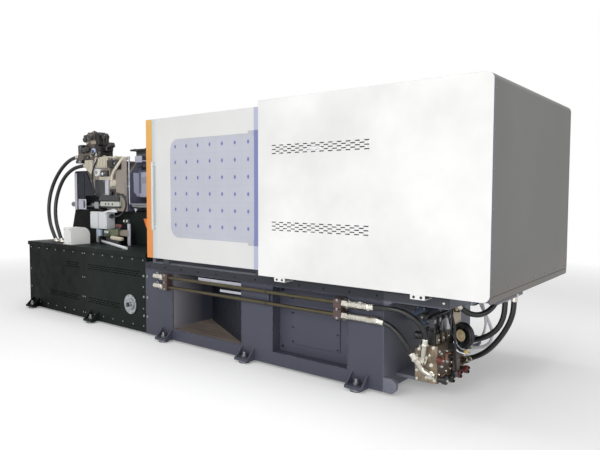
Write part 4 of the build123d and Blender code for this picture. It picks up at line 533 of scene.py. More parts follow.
# Cables and thin hoses that are only here: body, slot, and then the same as above
CABLE_ROUTES = {
    "stack_cable_upper": ("carriage", "hose_black", 0.005, 0.296, "cable_black", "limp", [
        (-2118, -318, 2218), (-2092, -322, 2226), (-2056, -328, 2226), (-2022, -334, 2196),
        (-2000, -340, 2146), (-1996, -346, 2094), (-2014, -348, 2052), (-2046, -346, 2030),
    ]),
    "stack_cable_lower": ("carriage", "hose_black", 0.005, 0.191, "cable_black", "limp", [
        (-2116, -352, 2186), (-2090, -356, 2196), (-2060, -358, 2188), (-2040, -358, 2150),
        (-2036, -356, 2100), (-2044, -352, 2058),
    ]),
    "stack_hose": ("carriage", "hose_black", 0.010, 0.6672, "cable_black", "medium", [
        (-2054, -412, 1966), (-2055, -420, 1930), (-2080, -440, 1872), (-2128, -446, 1800),
        (-2166, -446, 1725), (-2170, -446, 1650), (-2150, -446, 1573), (-2128, -444, 1506),
        (-2092, -436, 1456), (-2040, -418, 1434), (-1990, -402, 1430),
    ]),
    "manifold_cable": (ROOT, "hose_black", 0.009, 0.5952, "cable_black", "medium", [
        (2690, -700, 742), (2690, -700, 712), (2692, -690, 668), (2700, -656, 606), (2704, -630, 540),
        (2704, -620, 470), (2702, -612, 400), (2698, -596, 330), (2692, -576, 262), (2688, -556, 210),
        (2684, -548, 172),
    ]),
    "light_tube": (ROOT, "tube_grey", 0.009, 0.4953, "tube_grey", "medium", [
        (2742, -232, 752), (2744, -232, 700), (2760, -236, 640), (2780, -240, 570), (2786, -242, 500),
        (2772, -240, 430), (2738, -236, 372), (2690, -228, 336), (2650, -220, 326),
    ]),
}

# Hose from the terminal box to the housing
TERMINAL_ROUTE = [
    (-1905, -372, 1190), (-1840, -380, 1190), (-1750, -400, 1194), (-1650, -420, 1204), (-1560, -434, 1232),
    (-1494, -444, 1276), (-1462, -446, 1334), (-1474, -444, 1396), (-1524, -438, 1444), (-1590, -428, 1466),
    (-1640, -424, 1468),
]


def metres(place):
    return tuple(value / 1000 for value in place)


def curve_along(name, route, radius, look):
    """A round curve drawn by the points of a route."""
    curve = bpy.data.curves.new(name + "_line", "CURVE")
    curve.dimensions = "3D"
    curve.bevel_depth = radius
    curve.bevel_resolution = 6
    curve.resolution_u = 10
    curve.use_fill_caps = True
    line = curve.splines.new("NURBS")
    line.points.add(len(route) - 1)
    for point, place in zip(line.points, route):
        point.co = (*metres(place), 1)
    line.order_u = 3
    line.use_endpoint_u = True
    curve.materials.append(looks[look])
    return show(name, curve)


def make_cord(name, body, node, slot, radius, length, look, stiffness, route):
    """A hose or cable that rides on one body."""
    cord = curve_along(name, route, radius, look)
    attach(cord, body)
    if node:
        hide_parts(node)


def make_bridge(name, node, radius, look, route):
    """A hose from the fixed machine to the sliding carriage."""
    curve = curve_along(name + "_curve", route, radius, look)
    cord = show(name, bpy.data.meshes.new_from_object(curve))
    curve.data.bevel_depth = 0
    centre = [tuple(point.co) for point in bpy.data.meshes.new_from_object(curve).vertices]
    bpy.data.objects.remove(curve)
    cord.data.shade_smooth()
    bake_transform(cord)
    if node:
        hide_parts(node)


for name, (radius, length, look, stiffness, route) in HOSE_ROUTES.items():
    if name.startswith("injection"):
        make_bridge(name + "_hose", name, radius, look, route[::-1])
    else:
        make_cord(name + "_hose", ROOT, name, look, radius, length, look, stiffness, route)
for name, (body, slot, *cable) in CABLE_ROUTES.items():
    make_cord(name, body, None, slot, *cable)
make_bridge("terminal_hose", None, 0.011, "cable_black", TERMINAL_ROUTE)


# Mesh pieces, built in place with all their measures in millimetres
MM = 0.001
SHARP_ANGLE = radians(34)
SIGNS = ((-1, -1), (1, -1), (1, 1), (-1, 1))
REAR = (0, -1, 0)
FRONT = (0, 1, 0)
UP = (0, 0, 1)
DOWN = (0, 0, -1)
END = (1, 0, 0)
BACK = (-1, 0, 0)


def cut_box(low, high, cut):
    """Points and faces of a box whose edges and corners are cut off."""
    middle = [(a + b) / 2 for a, b in zip(low, high)]
    half = [abs(b - a) / 2 for a, b in zip(low, high)]
    cut = min(cut, 0.45 * min(half))
    points = []
    place = {}
    for corner in product((-1, 1), repeat=3):
        for flat in range(3):
            place[corner, flat] = len(points)
            points.append([
                middle[k] + corner[k] * (half[k] - (0 if k == flat else cut)) for k in range(3)
            ])
    faces = [[place[corner, flat] for flat in range(3)] for corner in product((-1, 1), repeat=3)]
    for flat in range(3):
        others = [k for k in range(3) if k != flat]
        for side in (-1, 1):
            face = []
            for pair in SIGNS:
                corner = [side] * 3
                corner[others[0]], corner[others[1]] = pair
                face.append(place[tuple(corner), flat])
            faces.append(face)
        for pair in SIGNS:
            near = [-1] * 3
            near[others[0]], near[others[1]] = pair
            far = list(near)
            far[flat] = 1
            near, far = tuple(near), tuple(far)
            faces.append([
                place[near, others[0]], place[near, others[1]], place[far, others[1]], place[far, others[0]]
            ])
    return points, faces


def ring_faces(rings, sides):
    """Faces of a tube through rings of points, closed at both ends."""
    last = (rings - 1) * sides
    faces = [list(range(sides)), list(range(last + sides - 1, last - 1, -1))]
    for first in range(0, last, sides):
        for corner in range(sides):
            after = (corner + 1) % sides
            faces.append([first + corner, first + after, first + sides + after, first + sides + corner])
    return faces


class Piece:
    """One mesh of several finishes that rides on a body."""

    def __init__(self, name, body, slot):
        self.name = name
        self.body = body
        self.slot = slot
        self.points = []
        self.faces = []
        self.finishes = []
        self.marks = []

    def add(self, points, faces, look):
        if look not in self.finishes:
            self.finishes.append(look)
        first = len(self.points)
        self.points.extend(tuple(point) for point in points)
        self.faces.extend([first + corner for corner in face] for face in faces)
        self.marks.extend([self.finishes.index(look)] * len(faces))

    def box(self, low, high, look, cut=2.0, turn=0.0, axis="Y"):
        """Box between two corners, turned by some degrees about its own middle."""
        points, faces = cut_box(low, high, cut)
        if turn:
            middle = (Vector(low) + Vector(high)) / 2
            spin = Matrix.Rotation(radians(turn), 3, axis)
            points = [middle + spin @ (Vector(point) - middle) for point in points]
        self.add(points, faces, look)

    def boxes(self, look, rows):
        """Boxes of one finish: each row has two corners, the cut of the edges and any turn."""
        for low, high, *rest in rows:
            self.box(low, high, look, *rest)

    def plate(self, outline, axis, low, high, look):
        """Flat plate: its outline lies across an axis, between two places along it."""
        points = []
        for level in (low, high):
            for place in outline:
                point = list(place)
                point.insert("XYZ".index(axis), level)
                points.append(point)
        self.add(points, ring_faces(2, len(outline)), look)

    def turned(self, start, way, profile, look, sides=16):
        """Turned or many-sided piece: each pair is a distance along its axis and a radius there."""
        along = Vector(way).normalized()
        side = along.orthogonal().normalized()
        across = along.cross(side)
        points = []
        for distance, radius in profile:
            for number in range(sides):
                angle = 2 * pi * (number + 0.5) / sides
                ring = side * cos(angle) + across * sin(angle)
                points.append(Vector(start) + along * distance + ring * radius)
        self.add(points, ring_faces(len(profile), sides), look)

    def turnings(self, look, sides, rows):
        """Turned pieces of one finish: each row has a start, a way and a profile."""
        for row in rows:
            self.turned(*row, look, sides)

    def rod(self, start, end, radius, look, sides=16, cut=1.0):
        """Straight rod from one point to another, with its ends cut at the rim."""
        run = Vector(end) - Vector(start)
        profile = [(0, radius - cut), (cut, radius), (run.length - cut, radius), (run.length, radius - cut)]
        self.turned(start, run, profile, look, sides)

    def bolt(self, place, way, radius, look="bolt_zinc"):
        """Hexagon head on its washer."""
        self.turned(place, way, [(-1, radius * 1.25), (radius * 0.2, radius * 1.25)], look, 14)
        self.turned(place, way, [
            (radius * 0.2, radius), (radius * 0.75, radius), (radius * 0.85, radius * 0.88)
        ], look, 6)

    def cap_screw(self, place, way, radius, look="bolt_zinc"):
        """Round head with a recess for the key."""
        self.turned(place, way, [
            (-1, radius), (radius * 0.8, radius), (radius * 0.95, radius * 0.85),
            (radius * 0.95, radius * 0.5), (radius * 0.4, radius * 0.5),
        ], look, 12)

    def rear_screws(self, y, radius, places, look="bolt_zinc"):
        """Cap screws on a face towards the rear side, each at its X and Z."""
        for x, z in places:
            self.cap_screw((x, y, z), REAR, radius, look)

    def tube(self, route, radius, look, sides=10, steps=5):
        """Bent rod through its points, in a smooth line."""
        places = [Vector(point) for point in route]
        places = [2 * places[0] - places[1]] + places + [2 * places[-1] - places[-2]]
        line = []
        for a, b, c, d in zip(places, places[1:], places[2:], places[3:]):
            for step in range(steps):
                t = step / steps
                line.append((b * 2 + (c - a) * t + (a * 2 - b * 5 + c * 4 - d) * t ** 2
                             + (b * 3 - a - c * 3 + d) * t ** 3) / 2)
        line.append(places[-2])
        side = (line[1] - line[0]).orthogonal().normalized()
        points = []
        for number, place in enumerate(line):
            along = line[min(number + 1, len(line) - 1)] - line[max(number - 1, 0)]
            side = (side - along * side.dot(along) / along.length_squared).normalized()
            across = along.normalized().cross(side)
            for corner in range(sides):
                angle = 2 * pi * corner / sides
                points.append(place + side * radius * cos(angle) + across * radius * sin(angle))
        self.add(points, ring_faces(len(line), sides), look)

    def finish(self):
        """Makes the mesh and lets it ride on its body."""
        data = bpy.data.meshes.new(self.name)
        data.from_pydata([Vector(point) * MM for point in self.points], [], self.faces)
        for look in self.finishes:
            data.materials.append(looks[look])
        data.polygons.foreach_set("material_index", self.marks)
        sides = bmesh.new()
        sides.from_mesh(data)
        bmesh.ops.recalc_face_normals(sides, faces=sides.faces)
        sides.to_mesh(data)
        sides.free()
        data.shade_smooth()
        data.set_sharp_from_angle(angle=SHARP_ANGLE)
        made = show(self.name, data)
        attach(made, self.body)


def spread(first, last, count):
    """Places evenly spaced from the first to the last, both included."""
    return [first + (last - first) * number / (count - 1) for number in range(count)]


def around(x, z, radius, count, start=0):
    """Places evenly spaced on a circle across Y, each with its X and Z."""
    angles = [radians(360 / count * number + start) for number in range(count)]
    return [(x + radius * cos(angle), z + radius * sin(angle)) for angle in angles]


# Places on the machine in millimetres, and the lean of the control panel in degrees
SCREW_AXIS = 1505
BED_FACE = -831
BED_PADS = (-245, 870, 2037)
CABINET_PADS = (-2907, -1567)
BEAD_WAVE = 0.8
DECK_TOP = 855
FILLER_PORT = (-867, 292)
PANEL_TILT = 6.5464


def dress_valve_stack():
    """Valve stack on the near injection cylinder: seams, coils, plugs and its gauge."""
    stack = Piece("stack_details", "carriage", "stack_tan")
    for z in (2060, 2148):
        stack.box((-2392, -378, z - 3), (-2118, -232, z + 3), "stack_seam", 1)
    stack.box((-2382, -366, 2236), (-2262, -244, 2250), "stack_tan", 3)
    for x, y in product((-2370, -2274), (-354, -256)):
        stack.cap_screw((x, y, 2249), UP, 8)
    stack.rear_screws(-375, 9, product((-2385, -2125), (2082, 2214)), "bolt_black")
    stack.boxes("stack_seam", [
        ((-2250, -352, 2236), (-2150, -258, 2244), 2), ((-2436, -410, 1904), (-2300, -392, 1952), 4),
    ])
    # Pale blocks on the stack: painted highlights
    stack.boxes("stack_light", [
        ((-2358, -384, 2168), (-2300, -374, 2216), 3), ((-2284, -388, 2094), (-2176, -374, 2140), 3),
    ])
    stack.turnings("bolt_zinc", 6, [
        ((-2330, -384, 2110), REAR, [(0, 16), (6, 16), (8, 13), (20, 13), (22, 11)]),
        ((-2562, -350, 2044), BACK, [(0, 18), (10, 18), (14, 12)]),
        ((-2500, -402, 1880), REAR, [(0, 20), (10, 20), (12, 16), (18, 16)]),
    ])
    coil = [(0, 20), (3, 37), (70, 37), (74, 33), (80, 33), (84, 14), (96, 14), (98, 11)]
    cap = [(0, 30), (4, 34), (26, 34), (30, 28), (31, 14), (40, 13)]
    stack.turnings("coil_black", 20, [((-2390, -352, 2164), BACK, coil), ((-2330, -300, 2236), UP, cap)])
    stack.boxes("coil_black", [
        ((-2462, -378, 2192), (-2416, -326, 2222), 5), ((-2440, -442, 2068), (-2384, -384, 2092), 5),
        ((-2562, -402, 1990), (-2492, -300, 2098), 12), ((-2614, -404, 1862), (-2470, -300, 1900), 6),
        ((-2608, -398, 1898), (-2560, -330, 1968), 6), ((-2098, -352, 2000), (-1990, -250, 2062), 8),
        ((-2010, -342, 2040), (-1930, -262, 2100), 10, -22),
    ])
    stack.turned((-2262, -376, 2186), REAR, [(0, 22), (3, 34), (46, 34), (50, 28), (52, 12), (62, 11)],
                 "connector_grey", 20)
    stack.turned((-2112, -305, 2178), END, [(0, 24), (4, 31), (44, 31), (48, 26), (56, 16)],
                 "stack_tan", 18)
    stack.turned((-2470, -400, 2030), END, [
        (0, 24), (6, 42), (52, 46), (58, 46), (62, 42), (150, 42), (156, 34), (190, 30), (196, 22)
    ], "coil_black", 22)
    stack.turned((-2492, -350, 2044), END, [(0, 40), (30, 40), (34, 34)], "stack_seam", 20)
    stack.turned((-2180, -396, 2004), REAR, [(0, 36), (8, 38), (24, 38), (28, 34), (28, 30), (24, 30)],
                 "gauge_rim", 28)
    stack.turned((-2180, -420, 2004), REAR, [(0, 30), (2, 30)], "gauge_face", 28)
    stack.turned((-2180, -422, 2004), REAR, [(0, 11), (3, 9)], "gauge_blue", 18)
    stack.box((-2262, -408, 1938), (-2128, -392, 1980), "cream_metal", 4)
    stack.rear_screws(-410, 8, [(-2420, 1928), (-2316, 1928)])
    stack.rear_screws(-395, 7, product((-2545, -2460, -2350, -2240, -2075), (2046,)), "bolt_black")
    stack.rod((-2000, -300, 2060), (-1940, -300, 2040), 15, "stack_seam", 12)
    stack.finish()


def dress_housing():
    """Blocks, pipes and covers on the near side of the injection housing."""
    side = Piece("housing_details", "carriage", "housing_beige")
    side.plate([(-2382, 1897), (-2214, 1893), (-2217, 1700), (-2330, 1766), (-2372, 1800)],
               "Y", -412, -396, "cream_metal")
    side.boxes("cream_metal", [
        ((-2376, -420, 1800), (-2300, -410, 1890), 4), ((-2149, -420, 1786), (-1884, -398, 1925), 5),
        ((-2064, -414, 1640), (-1770, -398, 1684), 6), ((-1808, -438, 1566), (-1694, -400, 1616), 8),
    ])
    side.plate([(-2391, 1760), (-2370, 1756), (-2241, 1585), (-2189, 1459), (-2190, 1446), (-2391, 1446)],
               "Y", -412, -398, "motor_navy")
    side.boxes("plate_dark", [
        ((-2066, -424, 1384), (-1646, -404, 1457), 4), ((-2160, -416, 1450), (-1936, -398, 1644), 4),
    ])
    side.rear_screws(-412, 7, [(-2362, 1878), (-2232, 1876), (-2232, 1730), (-2310, 1800)])
    side.rear_screws(-418, 7, product((-2146, -1950, -1898), (1630, 1464)))
    for x in spread(-2120, -1920, 4):
        side.box((x - 11, -432, 1800), (x + 11, -418, 1915), "cream_metal", 4)
    side.rear_screws(-420, 6, product(spread(-2128, -1905, 5), (1794,)))
    side.plate([(-2184, 1778), (-2030, 1778), (-2030, 1716), (-2072, 1690), (-2130, 1688), (-2150, 1730)],
               "Y", -424, -398, "terminal_white")
    side.turned((-2108, -424, 1735), REAR, [(0, 20), (4, 20), (5, 13), (9, 13)], "stack_light", 18)
    side.boxes("coil_black", [
        ((-2018, -426, 1684), (-1874, -398, 1756), 5), ((-1898, -418, 1792), (-1662, -398, 1884), 6),
        ((-2000, -430, 1300), (-1624, -402, 1318), 5),
    ])
    side.turned((-1972, -426, 1718), REAR, [(0, 19), (3, 19), (4, 12), (2, 12)], "terminal_white", 22)
    side.turned((-1915, -426, 1726), REAR, [(0, 8), (5, 8), (6, 6)], "bolt_zinc", 14)
    side.boxes("stack_seam", [
        ((-1870, -428, 1810), (-1760, -416, 1868), 4), ((-1862, -406, 1446), (-1710, -396, 1530), 6),
    ])
    side.cap_screw((-1720, -418, 1838), REAR, 12)
    side.box((-1934, -420, 1450), (-1864, -398, 1644), "strip_light", 4)
    side.boxes("taupe_cast", [
        ((-1706, -418, 1438), (-1500, -398, 1760), 10), ((-1690, -428, 1470), (-1516, -414, 1610), 8),
        ((-1600, -410, 1740), (-1502, -398, 1872), 8), ((-1900, -396, 1848), (-1516, -260, 1862), 4),
        ((-1700, -404, 1376), (-1610, -396, 1440), 5),
    ])
    for x, z in product((-1686, -1520), (1744, 1452)):
        side.bolt((x, -419, z), REAR, 11)
    side.rod((-1800, -400, 1480), (-1800, -432, 1480), 22, "coil_black", 18)
    side.turned((-1725, -398, 1600), REAR, [(0, 44), (16, 44), (20, 38), (34, 38), (38, 30)],
                "cream_metal", 24)
    side.rod((-1782, -420, 1560), (-1782, -420, 1626), 24, "cream_metal", 6, 3)
    side.tube([
        (-1600, -376, 1902), (-1618, -402, 1870), (-1650, -428, 1810), (-1706, -436, 1752),
        (-1752, -432, 1700), (-1772, -424, 1650), (-1780, -420, 1612),
    ], 17, "cream_hose", 14)
    side.rod((-1596, -370, 1880), (-1596, -370, 1916), 24, "cream_metal", 6, 3)
    side.tube([
        (-2170, -350, 1950), (-2090, -352, 1944), (-2010, -354, 1924), (-1900, -352, 1916),
        (-1800, -352, 1912),
    ], 13, "cream_metal", 12)
    side.tube([
        (-1840, -330, 1930), (-1760, -330, 1914), (-1680, -332, 1910), (-1600, -340, 1900),
        (-1530, -350, 1896),
    ], 13, "cream_metal", 12)
    for x, z in ((-2150, 1946), (-2040, 1930), (-1930, 1916), (-1806, 1910), (-1700, 1910), (-1560, 1898)):
        side.rod((x - 16, -350, z), (x + 16, -350, z), 21, "cream_metal", 6, 3)
    side.boxes("stack_light", [
        ((-2090, -380, 1896), (-1960, -330, 1936), 6), ((-1770, -372, 1880), (-1690, -318, 1924), 6),
    ])
    side.box((-2010, -440, 1318), (-1614, -404, 1376), "slab_pale", 4)
    for x in (-1893, -1831, -1752):
        side.turned((x, -440, 1345), REAR, [(0, 13), (2, 13), (2, 8), (1, 8)], "coil_black", 16)
    side.finish()


def dress_throat():
    """Silver guard rail beside the housing, and the pieces about the feed throat."""
    rail = Piece("rail_details", "carriage", "unit_rods")
    rail.tube([
        (-1461, -398, 1916), (-1461, -400, 1800), (-1460, -400, 1600), (-1459, -400, 1400),
        (-1456, -400, 1362), (-1440, -400, 1351), (-1400, -400, 1350), (-1250, -400, 1350),
        (-1090, -400, 1349),
    ], 9, "bolt_zinc", 10)
    for z in (1900, 1560):
        rail.box((-1510, -402, z - 14), (-1452, -388, z + 14), "bolt_zinc", 4)
    rail.rod((-1100, -400, 1349), (-1100, -232, 1440), 8, "bolt_zinc", 10)
    rail.boxes("guard_lilac", [
        ((-1480, -306, 1846), (-1350, -294, 1922), 4), ((-1478, -300, 1862), (-1466, -120, 1880), 4),
    ])
    rail.boxes("throat_dark", [
        ((-1486, -232, 1852), (-1468, -120, 1936), 3), ((-1590, -244, 1790), (-1268, -232, 1816), 3),
        ((-1502, -336, 1268), (-1424, -330, 1288), 1),
    ])
    rail.box((-1440, -242, 1760), (-1270, -228, 1792), "coil_black", 3)
    rail.rear_screws(-244, 7, product((-1574, -1480, -1380, -1284), (1803,)))
    rail.plate([(-1466, 1304), (-1400, 1288), (-1432, 1256)], "Y", -340, -335, "terminal_white")
    rail.box((-1590, -238, 1480), (-1462, -229, 1745), "shield_blue", 4)
    rail.plate([(-313, 1722), (-226, 1724), (-226, 1440), (-262, 1440), (-290, 1478), (-309, 1490)],
               "X", -1501, -1496, "guard_lilac")
    rail.rear_screws(-238, 6, product((-1576, -1476), (1730, 1496)))
    rail.rear_screws(-230, 7, product((-1300, -1060, -800), (1700, 1470)))
    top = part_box("throat_block")[1].z / MM
    for x, y in product((-1735, -1515), (-120, 120)):
        rail.bolt((x, y, top), UP, 11, "bolt_black")
    rail.turned((-1625, 0, top), UP, [(0, 62), (4, 62), (6, 58), (6, 40), (3, 40)], "bolt_zinc", 32)
    rail.finish()


def dress_motor_cover():
    """Motor cover, its bracket and the strip along its edge, and the motor behind it."""
    cover = Piece("motor_cover_details", "ram", "motor_navy")
    low, high = (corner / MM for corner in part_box("motor_cover"))
    left, right, near = low.x, high.x, low.y
    cover.box((left - 2, near - 3, low.z), (left + 52, near, high.z - 30), "strip_light", 1)
    cover.box((left + 70, near - 4, 1400), (right - 14, near - 1, 1740), "motor_navy", 2)
    cover.box((left + 84, near - 5, 1269), (right + 20, near - 1, 1400), "bracket_lilac", 2)
    cover.box((right - 34, near - 12, 1290), (right - 12, near - 4, 1384), "coil_black", 4)
    cover.rear_screws(near - 5, 8, product((right + 4,), (1320, 1350)))
    cover.rear_screws(near - 5, 7, product((left + 96, left + 170), (1384,)))
    cover.rear_screws(near - 4, 6, product((left + 82,), spread(1430, 1710, 4)), "bolt_black")
    cover.finish()
    motor = Piece("motor_details", "ram", "ram_cast")
    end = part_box("ram")[0].x / MM
    for y, z in around(0, SCREW_AXIS, 145, 6, 30):
        motor.bolt((end + 25, y, z), BACK, 11)
    for y, z in around(0, SCREW_AXIS, 100, 12):
        motor.cap_screw((end, y, z), BACK, 7, "bolt_black")
    motor.turned((end, 0, SCREW_AXIS), BACK, [(0, 60), (8, 60), (12, 54)], "ram_cast", 32)
    for y in (-60, 60):
        motor.rod((end + 90, y, 1660), (end + 90, y, 1712), 24, "fitting_zinc", 6, 3)
    motor.finish()


def dress_manifold():
    """Manifold at the clamp end: bolts, plugs and small valves on its rear and end faces."""
    block = Piece("manifold_details", ROOT, "manifold_tan")
    near, end = -688, 2600
    rear_bolts = [
        (2457, 352, 11), (2554, 247, 12), (2568, 377, 11), (2537, 317, 9), (2517, 150, 10), (2440, 190, 9),
        (2440, 300, 9), (2580, 140, 10), (2440, 130, 9),
    ]
    end_bolts = [
        (-517, 246, 11), (-433, 220, 11), (-611, 228, 11), (-454, 178, 9), (-529, 177, 10), (-651, 180, 11),
        (-622, 326, 10), (-520, 325, 9), (-650, 350, 9), (-360, 300, 11), (-300, 240, 11), (-240, 340, 11),
        (-600, 290, 8),
    ]
    for x, z, size in rear_bolts:
        block.bolt((x, near, z), REAR, size, "bolt_bright")
    for y, z, size in end_bolts:
        block.bolt((end, y, z), END, size, "bolt_bright")
    nut = [(0, 10), (6, 10), (7, 7)]
    collar = [(-16, 33), (-14, 35), (2, 35), (4, 33)]
    block.turnings("bolt_bright", 6, [
        ((2480, near, 378), REAR, [(-1, 17), (10, 17), (12, 14), (22, 14), (24, 10)]),
        ((2500, near, 252), REAR, [(-1, 15), (8, 15), (10, 12), (16, 12), (17, 8)]),
        ((2502, -700, 291), FRONT, collar), ((2562, -700, 182), FRONT, collar),
        ((2635, -668, 290), END, [(0, 9), (8, 9), (9, 6)]), ((2670, -668, 150), END, nut),
        ((2680, -566, 142), END, nut), ((2680, -430, 142), END, nut), ((2680, -290, 142), END, nut),
    ])
    block.turned((end, -668, 290), END, [(-1, 30), (12, 30), (15, 25), (34, 25), (36, 20)], "knob_red", 20)
    block.turned((2614, -515, 286), END, [(0, 17), (12, 17), (14, 13), (30, 13), (32, 9)], "bolt_black", 6)
    block.boxes("copper_tan", [
        ((2598, -560, 262), (2614, -470, 310), 4), ((2598, -640, 140), (2610, -560, 166), 4)
    ])
    block.box((2598, -450, 255), (2646, -372, 300), "manifold_tan", 5)
    block.box((2610, -446, 158), (2640, -368, 252), "stack_tan", 5)
    for y, look in ((-566, "coil_black"), (-430, "knob_red"), (-290, "knob_red")):
        block.turned((2640, y, 142), END, [(0, 27), (6, 30), (34, 30), (40, 25)], look, 20)
    block.turned((2604, -668, 150), END, [(0, 22), (30, 22), (33, 30), (62, 30), (66, 24)],
                 "coil_black", 20)
    block.finish()


def dress_valves():
    """Row of valves on the manifold, each with its coil, plug and screws."""
    valves = Piece("valve_details", ROOT, "valve_dark")
    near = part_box("manifold_block")[0].y / MM
    for y in spread(near + 53, near + 413, 5):
        valves.box((2519, y - 26, 492), (2571, y + 26, 548), "coil_black", 5)
        valves.box((2524, y - 34, 520), (2566, y - 24, 580), "connector_grey", 4)
        valves.box((2450, y - 17, 466), (2492, y + 17, 492), "connector_grey", 5)
        valves.turned((2545, y, 548), UP, [(0, 24), (28, 24), (32, 18), (44, 18), (46, 12)],
                      "bolt_zinc", 12)
        valves.turned((2434, y, 441), BACK, [(0, 27), (5, 30), (26, 30), (31, 22), (40, 12)],
                      "coil_black", 18)
        for x, turn in product((2524, 2566), (-20, 20)):
            valves.cap_screw((x, y + turn, 492), UP, 5)
        valves.box((2576, y - 22, 400), (2590, y + 22, 470), "stack_tan", 3)
        valves.bolt((2590, y, 430), END, 9, "bolt_bright")
    valves.box((2532, -660, 590), (2558, -230, 604), "coil_black", 4)
    valves.turned((2500, -705, 600), REAR, [(-60, 26), (0, 32), (18, 32), (26, 24), (28, 24)],
                  "coil_black", 20)
    valves.turned((2500, -733, 600), REAR, [(0, 8), (6, 8), (7, 5)], "bolt_zinc", 6)
    valves.box((2556, -560, 470), (2570, -420, 562), "connector_grey", 4)
    valves.plate([(-560, 562), (-480, 575), (-410, 470), (-420, 462), (-560, 462)],
                 "X", 2572, 2578, "plate_light")
    valves.finish()


def dress_filter():
    """Filter head with its rings and cap, and the small pipes below it."""
    head = Piece("filter_details", ROOT, "filter_black")
    turn = Matrix.Rotation(radians(-22), 3, "Z")
    middle = Vector((2706, -470, 452))
    out = turn @ Vector(REAR)
    side = turn @ Vector(END)

    def circle(distance, radius, count):
        return [middle + out * distance + side * u + Vector(UP) * v for u, v in around(0, 0, radius, count)]

    for distance, big, small in ((20, 86, 7), (6, 90, 6), (-8, 88, 6)):
        ring = circle(distance, big, 24)
        head.tube(ring + ring[:1], small, "cable_black", 8, 2)
    head.turned(middle + out * 26, out, [
        (0, 42), (6, 44), (9, 41), (9, 34), (5, 32), (5, 18), (12, 16), (14, 10)
    ], "cap_beige", 30)
    for place in circle(22, 74, 6):
        head.cap_screw(place, out, 6, "bolt_black")
    head.tube([
        (2640, -486, 396), (2656, -500, 356), (2686, -504, 330), (2730, -496, 322), (2764, -478, 330)
    ], 9, "plate_light", 10)
    head.tube([
        (2652, -480, 414), (2672, -496, 376), (2706, -500, 354), (2744, -490, 352)
    ], 6, "plate_light", 8)
    head.turned((2738, -500, 338), (0.5, -0.8, -0.15), [
        (-34, 12), (-12, 12), (-12, 17), (4, 17), (4, 12), (16, 12), (18, 9)
    ], "brass", 6)
    head.finish()


def dress_post():
    """Post beside the filter, with a lilac edge."""
    post = Piece("post_details", ROOT, "manifold_tan")
    post.box((2598, -446, 360), (2612, -438, 742), "bracket_lilac", 2)
    post.box((2612, -447, 410), (2670, -439, 742), "post_beige", 2)
    post.box((2622, -466, 612), (2668, -446, 660), "coil_black", 4)
    post.turned((2646, -466, 634), REAR, [(0, 12), (4, 12), (5, 8)], "brass", 14)
    post.rear_screws(-447, 7, [(2640, 720), (2640, 450)])
    post.finish()


def dress_cable_ends():
    """Connectors where the thin cables end."""
    dark_line, light_line, stack_line = (
        CABLE_ROUTES[name][-1] for name in ("manifold_cable", "light_tube", "stack_hose")
    )
    loom = Piece("clamp_end_connectors", ROOT, "hose_black")
    loom.box((2676, -714, 728), (2704, -686, 752), "connector_grey", 3)
    loom.turned(dark_line[-1], (0.1, -0.2, 1), [(-12, 15), (14, 15), (18, 11), (26, 11)],
                "connector_grey", 12)
    loom.turnings("fitting_zinc", 12, [
        (light_line[0], DOWN, [(-6, 14), (14, 14), (18, 11), (30, 10)]),
        (light_line[-1], (1, -0.2, 0.25), [(-8, 14), (12, 14), (16, 11), (26, 10)]),
    ])
    loom.finish()
    ends = Piece("stack_connectors", "carriage", "hose_black")
    ends.boxes("connector_grey", [
        ((-2126, -328, 2208), (-2110, -308, 2228), 3), ((-2126, -362, 2176), (-2110, -342, 2196), 3),
        ((-2068, -426, 1968), (-2040, -392, 1992), 4), ((-1668, -456, 1450), (-1644, -414, 1486), 4),
    ])
    ends.turnings("connector_grey", 12, [
        (stack_line[0], DOWN, [(-16, 16), (10, 16), (14, 12), (30, 11.5)]),
        (TERMINAL_ROUTE[-1], (1, -0.08, 0), [(-10, 18), (14, 18), (18, 13), (34, 12.5)]),
    ])
    ends.finish()
    gland = Piece("terminal_gland", ROOT, "hose_black")
    gland.turned(TERMINAL_ROUTE[0], END, [(-4, 20), (8, 20), (12, 15), (24, 14), (34, 12.5)],
                 "connector_grey", 14)
    gland.finish()


def dress_cooler():
    """Cooler: its caps, bolts and straps."""
    x, z = 2430, 575
    cooler = Piece("cooler_details", ROOT, "cooler_blue")
    cooler.turnings("cooler_blue", 32, [
        ((x, -600, z), REAR, [(0, 70), (8, 74), (14, 74), (20, 66), (30, 50), (34, 24)]),
        ((x, 420, z), FRONT, [(0, 70), (8, 74), (14, 74), (20, 60), (24, 30)]),
    ])
    cooler.turned((x, -634, z), REAR, [(0, 22), (22, 22), (24, 18)], "coil_black", 8)
    for place in around(x, z, 66, 8, 20):
        cooler.bolt((place[0], -614, place[1]), REAR, 7)
    for y in (-400, -90, 220):
        cooler.turned((x, y, z), FRONT, [(-12, 62), (-12, 65), (12, 65), (12, 62)], "bolt_zinc", 32)
    cooler.finish()


def dress_hose_ends():
    """A pressed sleeve and a nut on each end of the hoses."""
    ends = Piece("hose_ends", ROOT, "fitting_zinc")
    for name, (radius, *_, route) in HOSE_ROUTES.items():
        size = radius / MM
        sleeve = "ferrule_white" if name.endswith("pipe_hose") else "fitting_zinc"
        for first, second in (route[:2], route[-1:-3:-1]):
            way = (Vector(second) - Vector(first)).normalized()
            ends.turned(first, way, [
                (-1, size + 1), (3, size + 4), (size * 1.9, size + 4), (size * 2, size + 2),
                (size * 2.1, size + 0.6),
            ], sleeve, 18)
            if radius > GREY_HOSE:
                ends.turned(first, -way, [(-3, size + 8), (0, size + 10), (16, size + 10), (19, size + 8)],
                            "fitting_zinc", 6)
    ends.finish()


